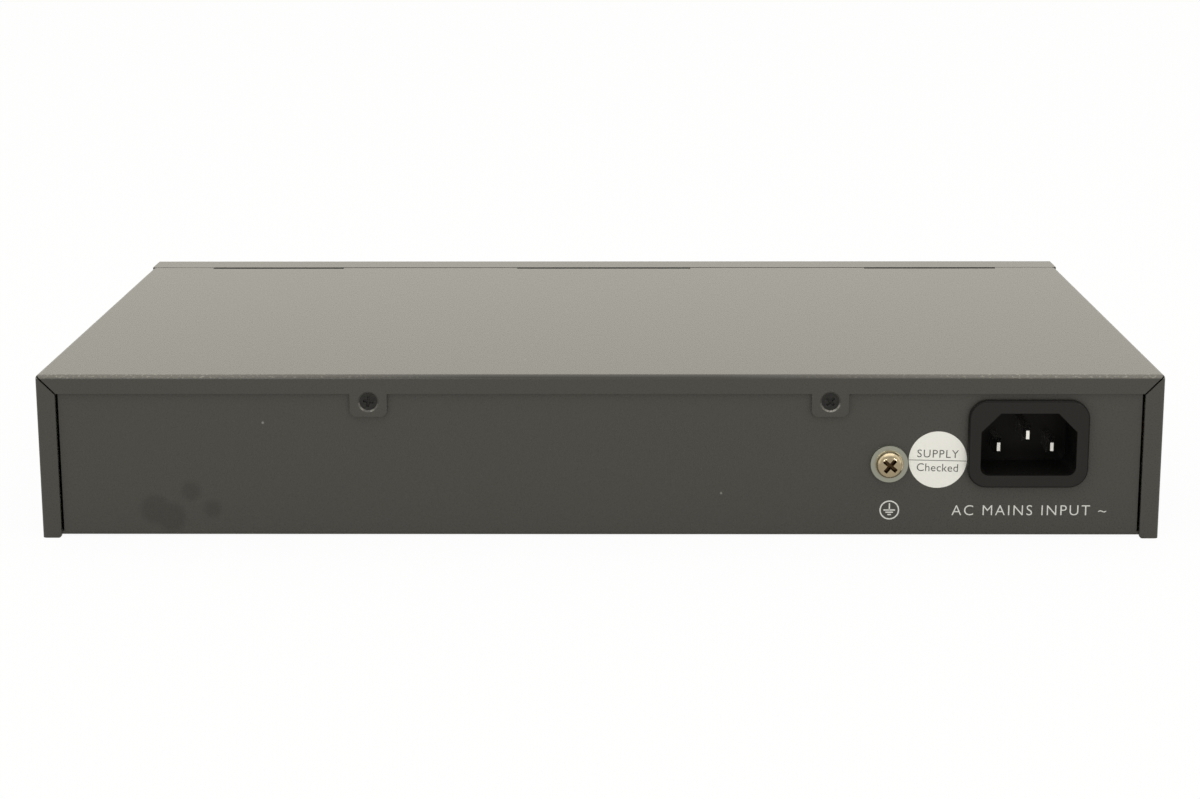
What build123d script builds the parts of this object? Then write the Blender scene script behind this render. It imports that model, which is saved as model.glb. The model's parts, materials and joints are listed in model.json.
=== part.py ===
from build123d import *
import os
from math import radians, tan

os.makedirs("parts", exist_ok=True)

# Desktop ethernet switch: a folded steel case with sixteen ports in front and a mains inlet behind.
# Millimetres, +Z up. The ports face -Y and the inlet faces +Y. The origin is the middle of the
# underside of the case.

# Case
case_width = 294.0
case_depth = 180.0
case_height = 44.0
sheet = 1.0
fold_radius = 1.2            # outside radius of every fold
cover_drop = 0.05            # the cover's top lies this far under the front strip
strip_depth = 12.8           # how far the front panel's top and side returns reach back
seam_gap = 0.15              # closed seam between the front strip and the cover
seam_slot = 2.3              # open seam, in three slots of the cover's front edge
seam_slot_end = 127.0        # outer ends of the slots, from the middle of the case
tray_lift = 0.5              # the tray hangs this far above the edges the case stands on
side_gap = 0.3               # between the tray and the cover's side walls
panel_gap = 0.6              # open joint beside the back panel
panel_top_gap = 0.4
side_flange = 5.0            # width of the cover's flanges beside the back panel
top_flange = 5.05            # height of the cover's flange above the back panel
mitre_gap = 0.45
edge_round = 0.8             # rounded lower corners of the side flanges
tray_side_height = 9.0       # the tray's own low side walls
return_gap = 0.3             # slit between the front strip's top and its side returns

# Screw tabs of the cover and the two countersunk screws that hold them
tab_x = 60.2
tab_width = 9.7
tab_drop = 6.1               # how far each tab reaches below the top flange
tab_round = 1.8
cover_screw_drop = 7.15      # screw centre below the cover's top
countersunk_head = 4.6
cover_screw_thread = 3.0
cover_screw_length = 8.0
head_sunk = 0.4              # the heads lie this deep in their countersinks
screw_clearance = 0.05       # all round a screw in its hole

# Cross recess of the screws
recess_arm_share = 0.15      # width of one arm, as a share of the head
recess_span_share = 0.58     # the cross reaches across this share of the head
recess_depth_share = 0.7     # and goes down this share of the head's height
recess_taper = 8.0           # draft of its walls, in degrees
left_screw_turn = 8.0        # how the cross of each screw in the back happens to stand, in degrees
right_screw_turn = 45.0
ground_screw_turn = 40.0

# Joggled tongues of the cover that hook under the front strip
tongue_x = 56.3
tongue_width = 56.4
tongue_reach = 7.0
tongue_slope = 0.65          # its joggle is steep
tongue_neck = 0.9            # and stays this thick
tongue_gap = 0.15

# Vents and rack ear holes in the cover's sides
vent_count = 20
vent_pitch = 5.0
vent_width = 2.0
vent_length = 16.0
vent_y = 16.0
vent_z = 25.0
ear_hole = 3.3
ear_collar = 5.2             # rolled collar that holds the thread
ear_collar_depth = 1.0
ear_pitch_y = 26.0
ear_pitch_z = 20.0
ear_y = -54.0
ear_z = 26.0

# Round marks on the underside for adhesive feet
foot_mark = 13.0
foot_mark_depth = 0.2
foot_mark_x = 124.0
foot_mark_y = 68.0

# Mains inlet
inlet_inset = 35.0           # centre, in from the side of the case
inlet_z = 25.6
inlet_flange_width = 31.4
inlet_flange_height = 23.3
inlet_flange_round = 5.0
inlet_flange_depth = 2.0
inlet_face_edge = 0.5
inlet_recess_width = 24.95
inlet_recess_height = 16.65
inlet_recess_chamfer = 5.0
inlet_recess_round = 2.2
inlet_recess_depth = 17.0
inlet_wall = 1.2
inlet_floor = 7.0
inlet_fit = 0.15             # all round the body in the panel
inlet_lug_reach = 1.3
inlet_lug_length = 5.0
inlet_lug_height = 7.0
pin_pitch = 7.0              # line and neutral, each side of the middle
pin_offset = 2.0             # earth above the middle, the other two below it
pin_width = 2.0
pin_height = 4.0
pin_tip_width = 0.85
pin_tip_height = 2.25
pin_taper = 2.2
pin_tip_behind = 5.9         # line and neutral tips behind the inlet's face
earth_tip_behind = 2.6
tag_thickness = 0.8
tag_height = 6.3
tag_length = 8.0

# Ground screw
ground_inset = 71.1
ground_z = 20.1
ground_thread = 4.0
ground_length = 10.0
ground_head = 7.4
ground_head_height = 2.4
ground_head_edge = 0.2       # upright rim of its head, under the dome
ground_washer = 9.8
ground_washer_thickness = 1.0
ground_hole_clearance = 0.2
ground_nut = 7.0
ground_nut_height = 3.0
ring_lug = 8.4
ring_lug_thickness = 0.8
ring_lug_barrel = 3.4
ring_lug_barrel_length = 7.0

# Round test label on the back panel
label_diameter = 15.2
label_thickness = 0.1
label_inset = 58.4
label_z = 21.1

# Main board
board_margin = 12.0          # between the board and each side of the case
board_front_gap = 1.5        # behind the front panel
board_depth = 90.0
board_thickness = 1.6
standoff_height = 4.2
standoff_width = 5.5
board_screw_inset = 6.0
board_screw_length = 5.0
pan_head = 5.5
pan_head_height = 1.9
pan_thread = 3.0

# Port blocks, each two rows of ports in one moulding
port_pitch = 13.97
ports_across = 4
row_offset = 5.3             # opening centre above and below the middle of the block
block_height = 27.0
block_depth = 25.0
block_side = 0.66            # wall outside the last port's pitch
shield_thickness = 0.3
block_gap = 4.8
block_inset = 34.4           # outer block's side, in from the side of the case
panel_hole_gap = 0.3
port_width = 11.7
port_height = 6.8
latch_width = 6.0
latch_step = 1.5
latch_slot_width = 3.3
latch_slot_step = 1.3
port_depth = 14.0
shield_lip = 0.1             # shield opening outside the port opening
contacts_per_port = 8
contact_pitch = 1.02
contact_width = 0.45
contact_thickness = 0.35
contact_foot = 1.4
contact_rise = 2.9
contact_reach = 8.6
contact_setback = 2.4

# Status lights
light_columns = 8
light_pitch = 6.0
light_row_pitch = 7.0
light_diameter = 3.0
light_fit = 0.1
light_length = 8.0
light_inset = 51.0           # middle of the columns, in from the side of the case
light_z = 20.0
power_light_step = 11.0      # the power light left of the first column
holder_depth = 9.0
holder_side = 4.0
holder_gap = 0.3             # behind the front panel

# Parts on the main board
chip_width = 20.0
chip_height = 1.6
chip_x = 6.0
chip_behind_front = 68.0
pad_thickness = 0.5
sink_width = 25.0
sink_base = 2.5
sink_height = 12.0
sink_fins = 7
sink_fin = 1.1
magnetic_length = 25.0
magnetic_width = 11.0
magnetic_height = 6.0
magnetics_per_block = 4
magnetic_gap = 3.0
memory_length = 8.0
memory_width = 5.3
memory_height = 1.75
crystal_length = 11.0
crystal_width = 4.6
crystal_height = 3.5
inductor_width = 10.0
inductor_height = 5.0
small_cap_diameter = 6.3
small_cap_height = 9.0
board_header_behind = 8.0    # in front of the board's rear edge
board_screw_clear = 12.0     # front middle screw, left of the inner port block
memory_step = 24.0           # left of the switch chip
memory_side = 2.0            # behind its middle
crystal_step = 22.0
crystal_side = 9.0           # in front of its middle
board_part_gap = 1.5         # between the power header, the inductors and the small capacitors
header_screw_clear = 25.5    # rear middle screw, right of the power header
pair_pitch = 14.0

# Power supply board
supply_side_gap = 9.0
supply_width = 104.0
supply_depth = 42.0
supply_gap = 3.0             # behind the main board
supply_standoff = 6.0
supply_thickness = 1.6
supply_screw_inset = 4.0
insulator_thickness = 0.3
insulator_margin = 1.0
insulator_hole_gap = 1.0

# Parts on the power supply board
part_gap = 4.0               # between neighbours along the board
row_gap = 2.5                # between its three rows
front_row = 6.5              # middle of the front row, behind the board's front edge
front_row_start = 15.0       # middle of the first part of the front row, from the board's left edge
middle_row_start = 8.0
header_pitch = 3.96
header_depth = 6.0
header_height = 5.0
plug_height = 6.0
header_pin = 1.1
header_pin_length = 4.0
fuse_diameter = 8.5
fuse_height = 8.0
film_cap_length = 18.0
film_cap_width = 7.0
film_cap_height = 13.0
choke_width = 16.0
choke_depth = 12.0
choke_height = 16.0
bulk_diameter = 16.0
bulk_height = 25.0
bridge_length = 15.0
bridge_width = 4.0
bridge_height = 11.0
disc_cap_diameter = 8.0
disc_cap_thickness = 4.0
core_length = 25.0
core_width = 6.5
core_height = 20.0
core_leg = 6.5
core_yoke = 3.3
winding_depth = 17.0
bobbin_flange = 1.0
bobbin_wall = 0.8
bobbin_play = 0.2
winding_inset = 0.5
rail_sink_length = 18.0
rail_sink_thickness = 2.0
rail_sink_height = 22.0
package_width = 10.0
package_thickness = 4.5
package_height = 15.0
package_lift = 4.0
package_leg = 0.8
package_leg_pitch = 2.54
primary_sink_shift = 12.0    # left of the transformer's middle
secondary_sink_shift = 4.0   # left of the output capacitors' middle
output_cap_diameter = 10.0
output_cap_height = 16.0
output_cap_gap = 1.0

# Leads and their terminals
lead_diameter = 1.8
sleeve_width = 3.6
sleeve_height = 8.2
sleeve_length = 12.0
sleeve_back_gap = 0.5
output_ways = 4
input_ways = 3

# Worked-out places
half_width = case_width / 2
front_y = -case_depth / 2
rear_y = case_depth / 2
cover_top = case_height - cover_drop
cover_front = front_y + strip_depth + seam_gap
strip_rear = front_y + strip_depth
panel_face = rear_y - sheet
panel_inside = panel_face - sheet
panel_half = half_width - side_flange - panel_gap
tray_half = half_width - sheet - side_gap
floor_z = tray_lift + sheet
front_inside = front_y + sheet
cover_screw_z = cover_top - cover_screw_drop
countersink_rim = countersunk_head / 2 + screw_clearance + head_sunk
board_front = front_inside + board_front_gap
board_rear = board_front + board_depth
board_half = half_width - board_margin
board_under = floor_z + standoff_height
board_top = board_under + board_thickness
supply_left = -half_width + supply_side_gap
supply_right = supply_left + supply_width
supply_front = board_rear + supply_gap
supply_rear = supply_front + supply_depth
supply_under = floor_z + supply_standoff
supply_top = supply_under + supply_thickness
light_x = -half_width + light_inset
inlet_x = -half_width + inlet_inset
inlet_face = panel_face + inlet_flange_depth
inlet_back = inlet_face - inlet_recess_depth - inlet_floor
ground_x = -half_width + ground_inset
label_x = -half_width + label_inset
block_width = ports_across * port_pitch + 2 * block_side
outer_block_x = half_width - block_inset - block_width / 2
inner_block_x = outer_block_x - block_width - block_gap
block_middle = board_top + block_height / 2


def facing_front(y):
    """Upright plane at this Y, seen from the front: X to the right, Z up, facing -Y."""
    return Plane.XZ.offset(-y)


def pointing_back(x, y, z):
    """Place on an upright face that looks to +Y."""
    return Plane(origin=(x, y, z), x_dir=(-1, 0, 0), z_dir=(0, 1, 0))


def pointing_in(x, y, z):
    """Place on an upright face, for a cut or a screw that goes in towards -Y."""
    return Plane(origin=(x, y, z), x_dir=(1, 0, 0), z_dir=(0, -1, 0))


def block(half, front, rear, bottom, top):
    """Block between these faces, the same width to both sides of the middle."""
    with BuildSketch(Plane.XY.offset(bottom)) as foot:
        with Locations((0, front)):
            Rectangle(2 * half, rear - front, align=(Align.CENTER, Align.MIN))
    return extrude(foot.sketch, amount=top - bottom)


def cover_folds(solid):
    """Edges of a block where the cover is folded: along both sides of its top and round its back."""
    return (solid.edges().filter_by(Axis.Y).group_by(Axis.Z)[-1]
            + solid.edges().filter_by(Axis.X).group_by(Axis.Z)[-1].group_by(Axis.Y)[-1]
            + solid.edges().filter_by(Axis.Z).group_by(Axis.Y)[-1])


def front_folds(solid):
    """Edges of a block round its front face."""
    return solid.faces().sort_by(Axis.Y)[0].edges()


def floor_folds(solid):
    """Edges of a block where the floor turns up into the side walls and the back panel."""
    return (solid.edges().filter_by(Axis.Y).group_by(Axis.Z)[0]
            + solid.edges().filter_by(Axis.X).group_by(Axis.Z)[0].group_by(Axis.Y)[-1])


def cross_recess(head_width, turn=0.0):
    """Outline of the cross that a screwdriver turns."""
    with BuildSketch() as cross:
        Rectangle(head_width * recess_span_share, head_width * recess_arm_share, rotation=turn)
        Rectangle(head_width * recess_arm_share, head_width * recess_span_share, rotation=turn)
    return cross.sketch


# Cover: top, two sides and the flanges round the back panel, folded from one sheet
inner_radius = fold_radius - sheet
flange_bottom = cover_top - top_flange
flange_inner = half_width - side_flange
slope_start = cover_front + tongue_slope
tongue_top = case_height - sheet - tongue_gap

with BuildPart() as cover_hollow:
    add(block(half_width - sheet, cover_front - sheet, panel_face, -sheet, cover_top - sheet))
    fillet(cover_folds(cover_hollow), radius=inner_radius)

with BuildPart() as cover:
    add(block(half_width, cover_front, rear_y, 0, cover_top))
    fillet(cover_folds(cover), radius=fold_radius)
    add(cover_hollow.part, mode=Mode.SUBTRACT)

    # Window for the back panel, with two screw tabs left in its upper edge
    with BuildSketch(facing_front(rear_y)):
        with Locations((0, -sheet)):
            Rectangle(2 * flange_inner, flange_bottom + sheet, align=(Align.CENTER, Align.MIN))
        for side in (-1, 1):
            with Locations((side * tab_x, flange_bottom)):
                Rectangle(tab_width, tab_drop, align=(Align.CENTER, Align.MAX), mode=Mode.SUBTRACT)
        tab_corners = vertices().group_by(Axis.Y)[1]
        fillet(tab_corners, radius=tab_round)
    extrude(amount=sheet, mode=Mode.SUBTRACT)

    # Mitres between the top flange and the side flanges
    with BuildSketch(facing_front(rear_y)):
        for side in (-1, 1):
            with BuildLine():
                Line((side * (half_width + sheet), cover_top + sheet * top_flange / side_flange),
                     (side * (flange_inner - panel_gap),
                      flange_bottom - panel_gap * top_flange / side_flange))
            trace(line_width=mitre_gap)
    extrude(amount=sheet + inner_radius, mode=Mode.SUBTRACT)
    flange_ends = edges().filter_by(Axis.Y).group_by(Axis.Y)[-1].group_by(Axis.Z)[0]
    fillet(flange_ends, radius=edge_round)

    # Front edge: an open slot between the tongues and one outside each, then the tongues themselves
    with BuildSketch(Plane.XY.offset(cover_top)):
        with Locations((0, cover_front)):
            Rectangle(2 * seam_slot_end, seam_slot - seam_gap, align=(Align.CENTER, Align.MIN))
        with Locations((-tongue_x, cover_front), (tongue_x, cover_front)):
            Rectangle(tongue_width, seam_slot - seam_gap, align=(Align.CENTER, Align.MIN),
                      mode=Mode.SUBTRACT)
            Rectangle(tongue_width, tongue_slope, align=(Align.CENTER, Align.MIN))
    extrude(amount=-2 * sheet, mode=Mode.SUBTRACT)
    for side in (-1, 1):
        with BuildSketch(Plane.YZ.offset(side * tongue_x - tongue_width / 2)):
            with BuildLine():
                Polyline((slope_start, cover_top), (cover_front, tongue_top),
                         (strip_rear - tongue_reach, tongue_top), (strip_rear - tongue_reach, tongue_top - sheet),
                         (cover_front + tongue_neck, tongue_top - sheet),
                         (slope_start + tongue_neck, cover_top - sheet), close=True)
            make_face()
        extrude(amount=tongue_width)

    # Collars for the rack ear screws, then all the holes
    for side in (-1, 1):
        with BuildSketch(Plane.YZ.offset(side * (half_width - sheet))):
            with Locations((ear_y, ear_z)):
                with GridLocations(ear_pitch_y, ear_pitch_z, 2, 2):
                    Circle(ear_collar / 2)
        extrude(amount=-side * ear_collar_depth)
    with BuildSketch(Plane.YZ):
        with Locations((ear_y, ear_z)):
            with GridLocations(ear_pitch_y, ear_pitch_z, 2, 2):
                Circle(ear_hole / 2)
        with Locations((vent_y, vent_z)):
            with GridLocations(vent_pitch, 0, vent_count, 1):
                SlotOverall(vent_length, vent_width, rotation=90)
    extrude(amount=half_width + sheet, both=True, mode=Mode.SUBTRACT)
    with Locations(pointing_back(-tab_x, rear_y, cover_screw_z), pointing_back(tab_x, rear_y, cover_screw_z)):
        CounterSinkHole(cover_screw_thread / 2 + screw_clearance, countersink_rim,
                        counter_sink_angle=90, depth=2 * sheet)
cover.part.label = "cover"
export_step(cover.part, "parts/cover.step")


# Tray: front panel with its returns, floor, low side walls and back panel, folded from one sheet
panel_top = cover_top - sheet - panel_top_gap
tub_front = front_y + fold_radius
tray_side_front = cover_front + sheet
tray_side_rear = panel_inside - 2 * fold_radius
inlet_hole_width = inlet_recess_width + 2 * inlet_wall + 2 * inlet_fit
inlet_hole_height = inlet_recess_height + 2 * inlet_wall + 2 * inlet_fit
block_hole_width = block_width + 2 * panel_hole_gap
block_hole_height = block_height + 2 * panel_hole_gap


def chamfered_top(width, height, corner):
    """Rectangle with its two upper corners cut at 45 degrees."""
    with BuildSketch() as outline:
        Rectangle(width, height)
        chamfer(vertices().group_by(Axis.Y)[-1], length=corner)
        fillet(vertices().group_by(Axis.Y)[0], radius=inlet_recess_round)
    return outline.sketch


first_light_x = light_x - (light_columns - 1) / 2 * light_pitch
light_spots = [(first_light_x + column * light_pitch, light_z + row * light_row_pitch / 2)
               for row in (-1, 1) for column in range(light_columns)]
light_spots.append((first_light_x - power_light_step, light_z))

with BuildPart() as tub_hollow:
    add(block(tray_half - sheet, tub_front - sheet, panel_inside, floor_z, case_height))
    fillet(floor_folds(tub_hollow), radius=inner_radius)

with BuildPart() as tub:
    add(block(tray_half, tub_front, panel_face, tray_lift, panel_top))
    fillet(floor_folds(tub), radius=fold_radius)
    add(tub_hollow.part, mode=Mode.SUBTRACT)
    add(block(case_width, tub_front - sheet, tray_side_rear, tray_lift + tray_side_height, case_height),
        mode=Mode.SUBTRACT)
    add(block(case_width, tub_front - sheet, tray_side_front, floor_z, case_height), mode=Mode.SUBTRACT)
    for side in (-1, 1):
        with BuildSketch(Plane.XY.offset(tray_lift + fold_radius)):
            with Locations((side * panel_half, tray_side_rear)):
                Rectangle(side_flange, 4 * sheet, align=(Align.MIN if side > 0 else Align.MAX, Align.MIN))
        extrude(amount=case_height, mode=Mode.SUBTRACT)

with BuildPart() as front_hollow:
    add(block(half_width - sheet, front_inside, cover_front, floor_z, case_height - sheet))
    fillet(front_folds(front_hollow), radius=inner_radius)

with BuildPart() as chassis_tray:
    add(block(half_width, front_y, strip_rear, tray_lift, case_height))
    fillet(front_folds(chassis_tray), radius=fold_radius)
    add(front_hollow.part, mode=Mode.SUBTRACT)

    # Slits that part the side returns from the top return and from the floor
    with BuildSketch(facing_front(strip_rear)):
        for side in (-1, 1):
            with Locations((side * (half_width - sheet), case_height - sheet)):
                Rectangle(2 * sheet, return_gap, align=(Align.MIN if side > 0 else Align.MAX, Align.MAX))
            with Locations((side * tray_half, 0)):
                Rectangle(side_gap, tray_lift + 2 * sheet,
                          align=(Align.MIN if side > 0 else Align.MAX, Align.MIN))
    extrude(amount=strip_rear - tub_front, mode=Mode.SUBTRACT)
    add(tub.part)

    # Openings in the front panel
    with BuildSketch(facing_front(front_inside)):
        with Locations((inner_block_x, block_middle), (outer_block_x, block_middle)):
            Rectangle(block_hole_width, block_hole_height)
        with Locations(*light_spots):
            Circle(light_diameter / 2 + light_fit)
    extrude(amount=sheet, mode=Mode.SUBTRACT)

    # Openings in the back panel
    with BuildSketch(facing_front(panel_face)):
        with Locations((inlet_x, inlet_z)):
            add(chamfered_top(inlet_hole_width, inlet_hole_height, inlet_recess_chamfer))
        with Locations((ground_x, ground_z)):
            Circle(ground_thread / 2 + ground_hole_clearance)
    extrude(amount=sheet, mode=Mode.SUBTRACT)
    with Locations(pointing_back(-tab_x, rear_y, cover_screw_z), pointing_back(tab_x, rear_y, cover_screw_z)):
        CounterSinkHole(cover_screw_thread / 2 + screw_clearance, countersink_rim,
                        counter_sink_angle=90, depth=3 * sheet)

    # Round marks for the feet
    with BuildSketch(Plane.XY.offset(tray_lift)):
        with GridLocations(2 * foot_mark_x, 2 * foot_mark_y, 2, 2):
            Circle(foot_mark / 2)
    extrude(amount=foot_mark_depth, mode=Mode.SUBTRACT)
chassis_tray.part.label = "chassis_tray"
export_step(chassis_tray.part, "parts/chassis_tray.step")


# Countersunk screws that hold the cover's tabs
head_cone = (countersunk_head - cover_screw_thread) / 2
with BuildPart() as cover_screws:
    for side in (-1, 1):
        spot = pointing_in(side * tab_x, rear_y - head_sunk, cover_screw_z)
        with BuildSketch(spot):
            Circle(countersunk_head / 2)
        extrude(amount=head_cone, taper=45)
        with BuildSketch(spot.offset(head_cone)):
            Circle(cover_screw_thread / 2)
        extrude(amount=cover_screw_length - head_cone)
    for side, turn in ((1, left_screw_turn), (-1, right_screw_turn)):
        with BuildSketch(pointing_in(side * tab_x, rear_y - head_sunk, cover_screw_z)):
            add(cross_recess(countersunk_head, turn))
        extrude(amount=head_cone * recess_depth_share, taper=recess_taper, mode=Mode.SUBTRACT)
cover_screws.part.label = "cover_screws"
export_step(cover_screws.part, "parts/cover_screws.step")


# Ground screw with its washer, nut and ring terminal
washer_face = panel_face + ground_washer_thickness
with BuildPart() as ground_washer_piece:
    with BuildSketch(facing_front(washer_face)):
        with Locations((ground_x, ground_z)):
            Circle(ground_washer / 2)
            Circle(ground_thread / 2 + ground_hole_clearance, mode=Mode.SUBTRACT)
    extrude(amount=ground_washer_thickness)
ground_washer_piece.part.label = "ground_washer"
export_step(ground_washer_piece.part, "parts/ground_washer.step")

with BuildPart() as ground_screw:
    with BuildSketch(pointing_back(ground_x, washer_face, ground_z)):
        Circle(ground_head / 2)
    extrude(amount=ground_head_height)
    fillet(edges().group_by(Axis.Y)[-1], radius=ground_head_height - ground_head_edge)
    with BuildSketch(pointing_back(ground_x, washer_face - ground_length, ground_z)):
        Circle(ground_thread / 2)
    extrude(amount=ground_length)
    with BuildSketch(pointing_in(ground_x, washer_face + ground_head_height, ground_z)):
        add(cross_recess(ground_head, ground_screw_turn))
    extrude(amount=ground_head_height * recess_depth_share, taper=recess_taper, mode=Mode.SUBTRACT)
ground_screw.part.label = "ground_screw"
export_step(ground_screw.part, "parts/ground_screw.step")

lug_back = panel_inside - ring_lug_thickness
lug_barrel_x = ground_x + ring_lug / 2
lug_end = lug_barrel_x + ring_lug_barrel_length
lug_axis_y = panel_inside - ring_lug_barrel / 2
with BuildPart() as ring_terminal:
    with BuildSketch(facing_front(panel_inside)):
        with Locations((ground_x, ground_z)):
            Circle(ring_lug / 2)
            Rectangle(ring_lug / 2 + 1.5, ring_lug_barrel, align=(Align.MIN, Align.CENTER))
            Circle(ground_thread / 2 + ground_hole_clearance, mode=Mode.SUBTRACT)
    extrude(amount=ring_lug_thickness)
    with BuildSketch(Plane.YZ.offset(lug_barrel_x)):
        with Locations((lug_axis_y, ground_z)):
            Circle(ring_lug_barrel / 2)
    extrude(amount=ring_lug_barrel_length)
    with BuildSketch(Plane.YZ.offset(lug_end)):
        with Locations((lug_axis_y, ground_z)):
            Circle(lead_diameter / 2)
    extrude(amount=-ring_lug_barrel_length / 2, mode=Mode.SUBTRACT)
ring_terminal.part.label = "ring_terminal"
export_step(ring_terminal.part, "parts/ring_terminal.step")

with BuildPart() as ground_nut_piece:
    with BuildSketch(facing_front(lug_back)):
        with Locations((ground_x, ground_z)):
            RegularPolygon(ground_nut / 2, 6, major_radius=False)
            Circle(ground_thread / 2, mode=Mode.SUBTRACT)
    extrude(amount=ground_nut_height)
ground_nut_piece.part.label = "ground_nut"
export_step(ground_nut_piece.part, "parts/ground_nut.step")


# Round test label stuck on the back panel
with BuildPart() as test_label:
    with BuildSketch(facing_front(panel_face + label_thickness)):
        with Locations((label_x, label_z)):
            Circle(label_diameter / 2)
    extrude(amount=label_thickness)
test_label.part.label = "test_label"
export_step(test_label.part, "parts/test_label.step")


# Mains inlet housing: flange, body, recess for the plug and two snap lugs
body_width = inlet_recess_width + 2 * inlet_wall
body_height = inlet_recess_height + 2 * inlet_wall
recess_floor = inlet_face - inlet_recess_depth
pin_spots = {"line": (inlet_x - pin_pitch, inlet_z - pin_offset),
             "neutral": (inlet_x + pin_pitch, inlet_z - pin_offset),
             "earth": (inlet_x, inlet_z + pin_offset)}

with BuildPart() as ac_inlet_housing:
    with BuildSketch(facing_front(inlet_face)):
        with Locations((inlet_x, inlet_z)):
            RectangleRounded(inlet_flange_width, inlet_flange_height, inlet_flange_round)
    extrude(amount=inlet_flange_depth)
    fillet(edges().group_by(Axis.Y)[-1], radius=inlet_face_edge)
    with BuildSketch(facing_front(panel_face)):
        with Locations((inlet_x, inlet_z)):
            add(chamfered_top(body_width, body_height, inlet_recess_chamfer))
    extrude(amount=panel_face - inlet_back)
    for side in (-1, 1):
        lug_wall = inlet_x + side * body_width / 2
        with BuildSketch(Plane.XY.offset(inlet_z - inlet_lug_height / 2)):
            with BuildLine():
                Polyline((lug_wall - side * inlet_wall / 2, panel_inside),
                         (lug_wall + side * inlet_lug_reach, panel_inside),
                         (lug_wall, panel_inside - inlet_lug_length),
                         (lug_wall - side * inlet_wall / 2, panel_inside - inlet_lug_length), close=True)
            make_face()
        extrude(amount=inlet_lug_height)
    with BuildSketch(facing_front(inlet_face)):
        with Locations((inlet_x, inlet_z)):
            add(chamfered_top(inlet_recess_width, inlet_recess_height, inlet_recess_chamfer))
    extrude(amount=inlet_recess_depth, mode=Mode.SUBTRACT)
    with BuildSketch(facing_front(recess_floor)):
        with Locations(*pin_spots.values()):
            Rectangle(pin_width, pin_height)
    extrude(amount=inlet_floor, mode=Mode.SUBTRACT)
ac_inlet_housing.part.label = "ac_inlet_housing"
export_step(ac_inlet_housing.part, "parts/ac_inlet_housing.step")


def inlet_pin(x, z, tip_behind):
    """Flat pin with a tapered tip, through the inlet's floor to a spade tag behind it."""
    tip = inlet_face - tip_behind
    with BuildPart() as pin:
        with BuildSketch(facing_front(tip - pin_taper)):
            with Locations((x, z)):
                Rectangle(pin_width, pin_height)
        extrude(amount=tip - pin_taper - inlet_back)
        with BuildSketch(facing_front(tip)):
            with Locations((x, z)):
                Rectangle(pin_tip_width, pin_tip_height)
        with BuildSketch(facing_front(tip - pin_taper)):
            with Locations((x, z)):
                Rectangle(pin_width, pin_height)
        loft()
        with BuildSketch(facing_front(inlet_back)):
            with Locations((x, z)):
                Rectangle(tag_thickness, tag_height)
        extrude(amount=tag_length)
    return pin


inlet_line_pin = inlet_pin(*pin_spots["line"], pin_tip_behind)
inlet_line_pin.part.label = "inlet_line_pin"
export_step(inlet_line_pin.part, "parts/inlet_line_pin.step")

inlet_neutral_pin = inlet_pin(*pin_spots["neutral"], pin_tip_behind)
inlet_neutral_pin.part.label = "inlet_neutral_pin"
export_step(inlet_neutral_pin.part, "parts/inlet_neutral_pin.step")

inlet_earth_pin = inlet_pin(*pin_spots["earth"], earth_tip_behind)
inlet_earth_pin.part.label = "inlet_earth_pin"
export_step(inlet_earth_pin.part, "parts/inlet_earth_pin.step")

# Insulated terminals pushed on the three tags
sleeve_start = inlet_back - sleeve_back_gap
sleeve_end = sleeve_start - sleeve_length
with BuildPart() as spade_terminals:
    with BuildSketch(facing_front(sleeve_start)):
        with Locations(*pin_spots.values()):
            RectangleRounded(sleeve_width, sleeve_height, sleeve_width / 3)
    extrude(amount=sleeve_length)
    with BuildSketch(facing_front(sleeve_start)):
        with Locations(*pin_spots.values()):
            Rectangle(tag_thickness, tag_height)
    extrude(amount=tag_length - sleeve_back_gap, mode=Mode.SUBTRACT)
spade_terminals.part.label = "spade_terminals"
export_step(spade_terminals.part, "parts/spade_terminals.step")


# Boards on their standoffs, each held by pan head screws
def standoffs(spots, height):
    """Hexagonal tapped spacers that stand on the tray's floor."""
    with BuildPart() as spacers:
        with BuildSketch(Plane.XY.offset(floor_z)):
            with Locations(*spots):
                RegularPolygon(standoff_width / 2, 6, major_radius=False)
                Circle(pan_thread / 2, mode=Mode.SUBTRACT)
        extrude(amount=height)
    return spacers


def pan_screws(spots, seat):
    """Pan head screws seated at this height."""
    with BuildPart() as screws:
        with BuildSketch(Plane.XY.offset(seat)):
            with Locations(*spots):
                Circle(pan_head / 2)
        extrude(amount=pan_head_height)
        fillet(edges().group_by(Axis.Z)[-1], radius=pan_head_height / 2)
        with BuildSketch(Plane.XY.offset(seat)):
            with Locations(*spots):
                Circle(pan_thread / 2)
        extrude(amount=-board_screw_length)
        with BuildSketch(Plane.XY.offset(seat + pan_head_height)):
            with Locations(*spots):
                add(cross_recess(pan_head))
        extrude(amount=-pan_head_height * recess_depth_share, mode=Mode.SUBTRACT)
    return screws


# Places along the three rows of the power supply board
front_row_y = supply_front + front_row
middle_row_y = front_row_y + film_cap_width / 2 + row_gap + winding_depth / 2
rail_y = middle_row_y + winding_depth / 2 + row_gap + package_thickness
input_x = supply_left + front_row_start
film_x = input_x + input_ways * header_pitch / 2 + part_gap + film_cap_length / 2
bridge_x = film_x + film_cap_length / 2 + part_gap + bridge_length / 2
disc_x = bridge_x + bridge_length / 2 + part_gap + disc_cap_diameter / 2
output_x = disc_x + disc_cap_diameter / 2 + part_gap + output_ways * header_pitch / 2
fuse_x = supply_left + middle_row_start
choke_x = fuse_x + fuse_diameter / 2 + part_gap + choke_width / 2
bulk_x = choke_x + choke_width / 2 + part_gap + bulk_diameter / 2
transformer_x = bulk_x + bulk_diameter / 2 + part_gap + core_length / 2
output_cap_x = transformer_x + core_length / 2 + part_gap + output_cap_diameter / 2
board_header_y = board_rear - board_header_behind

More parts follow.
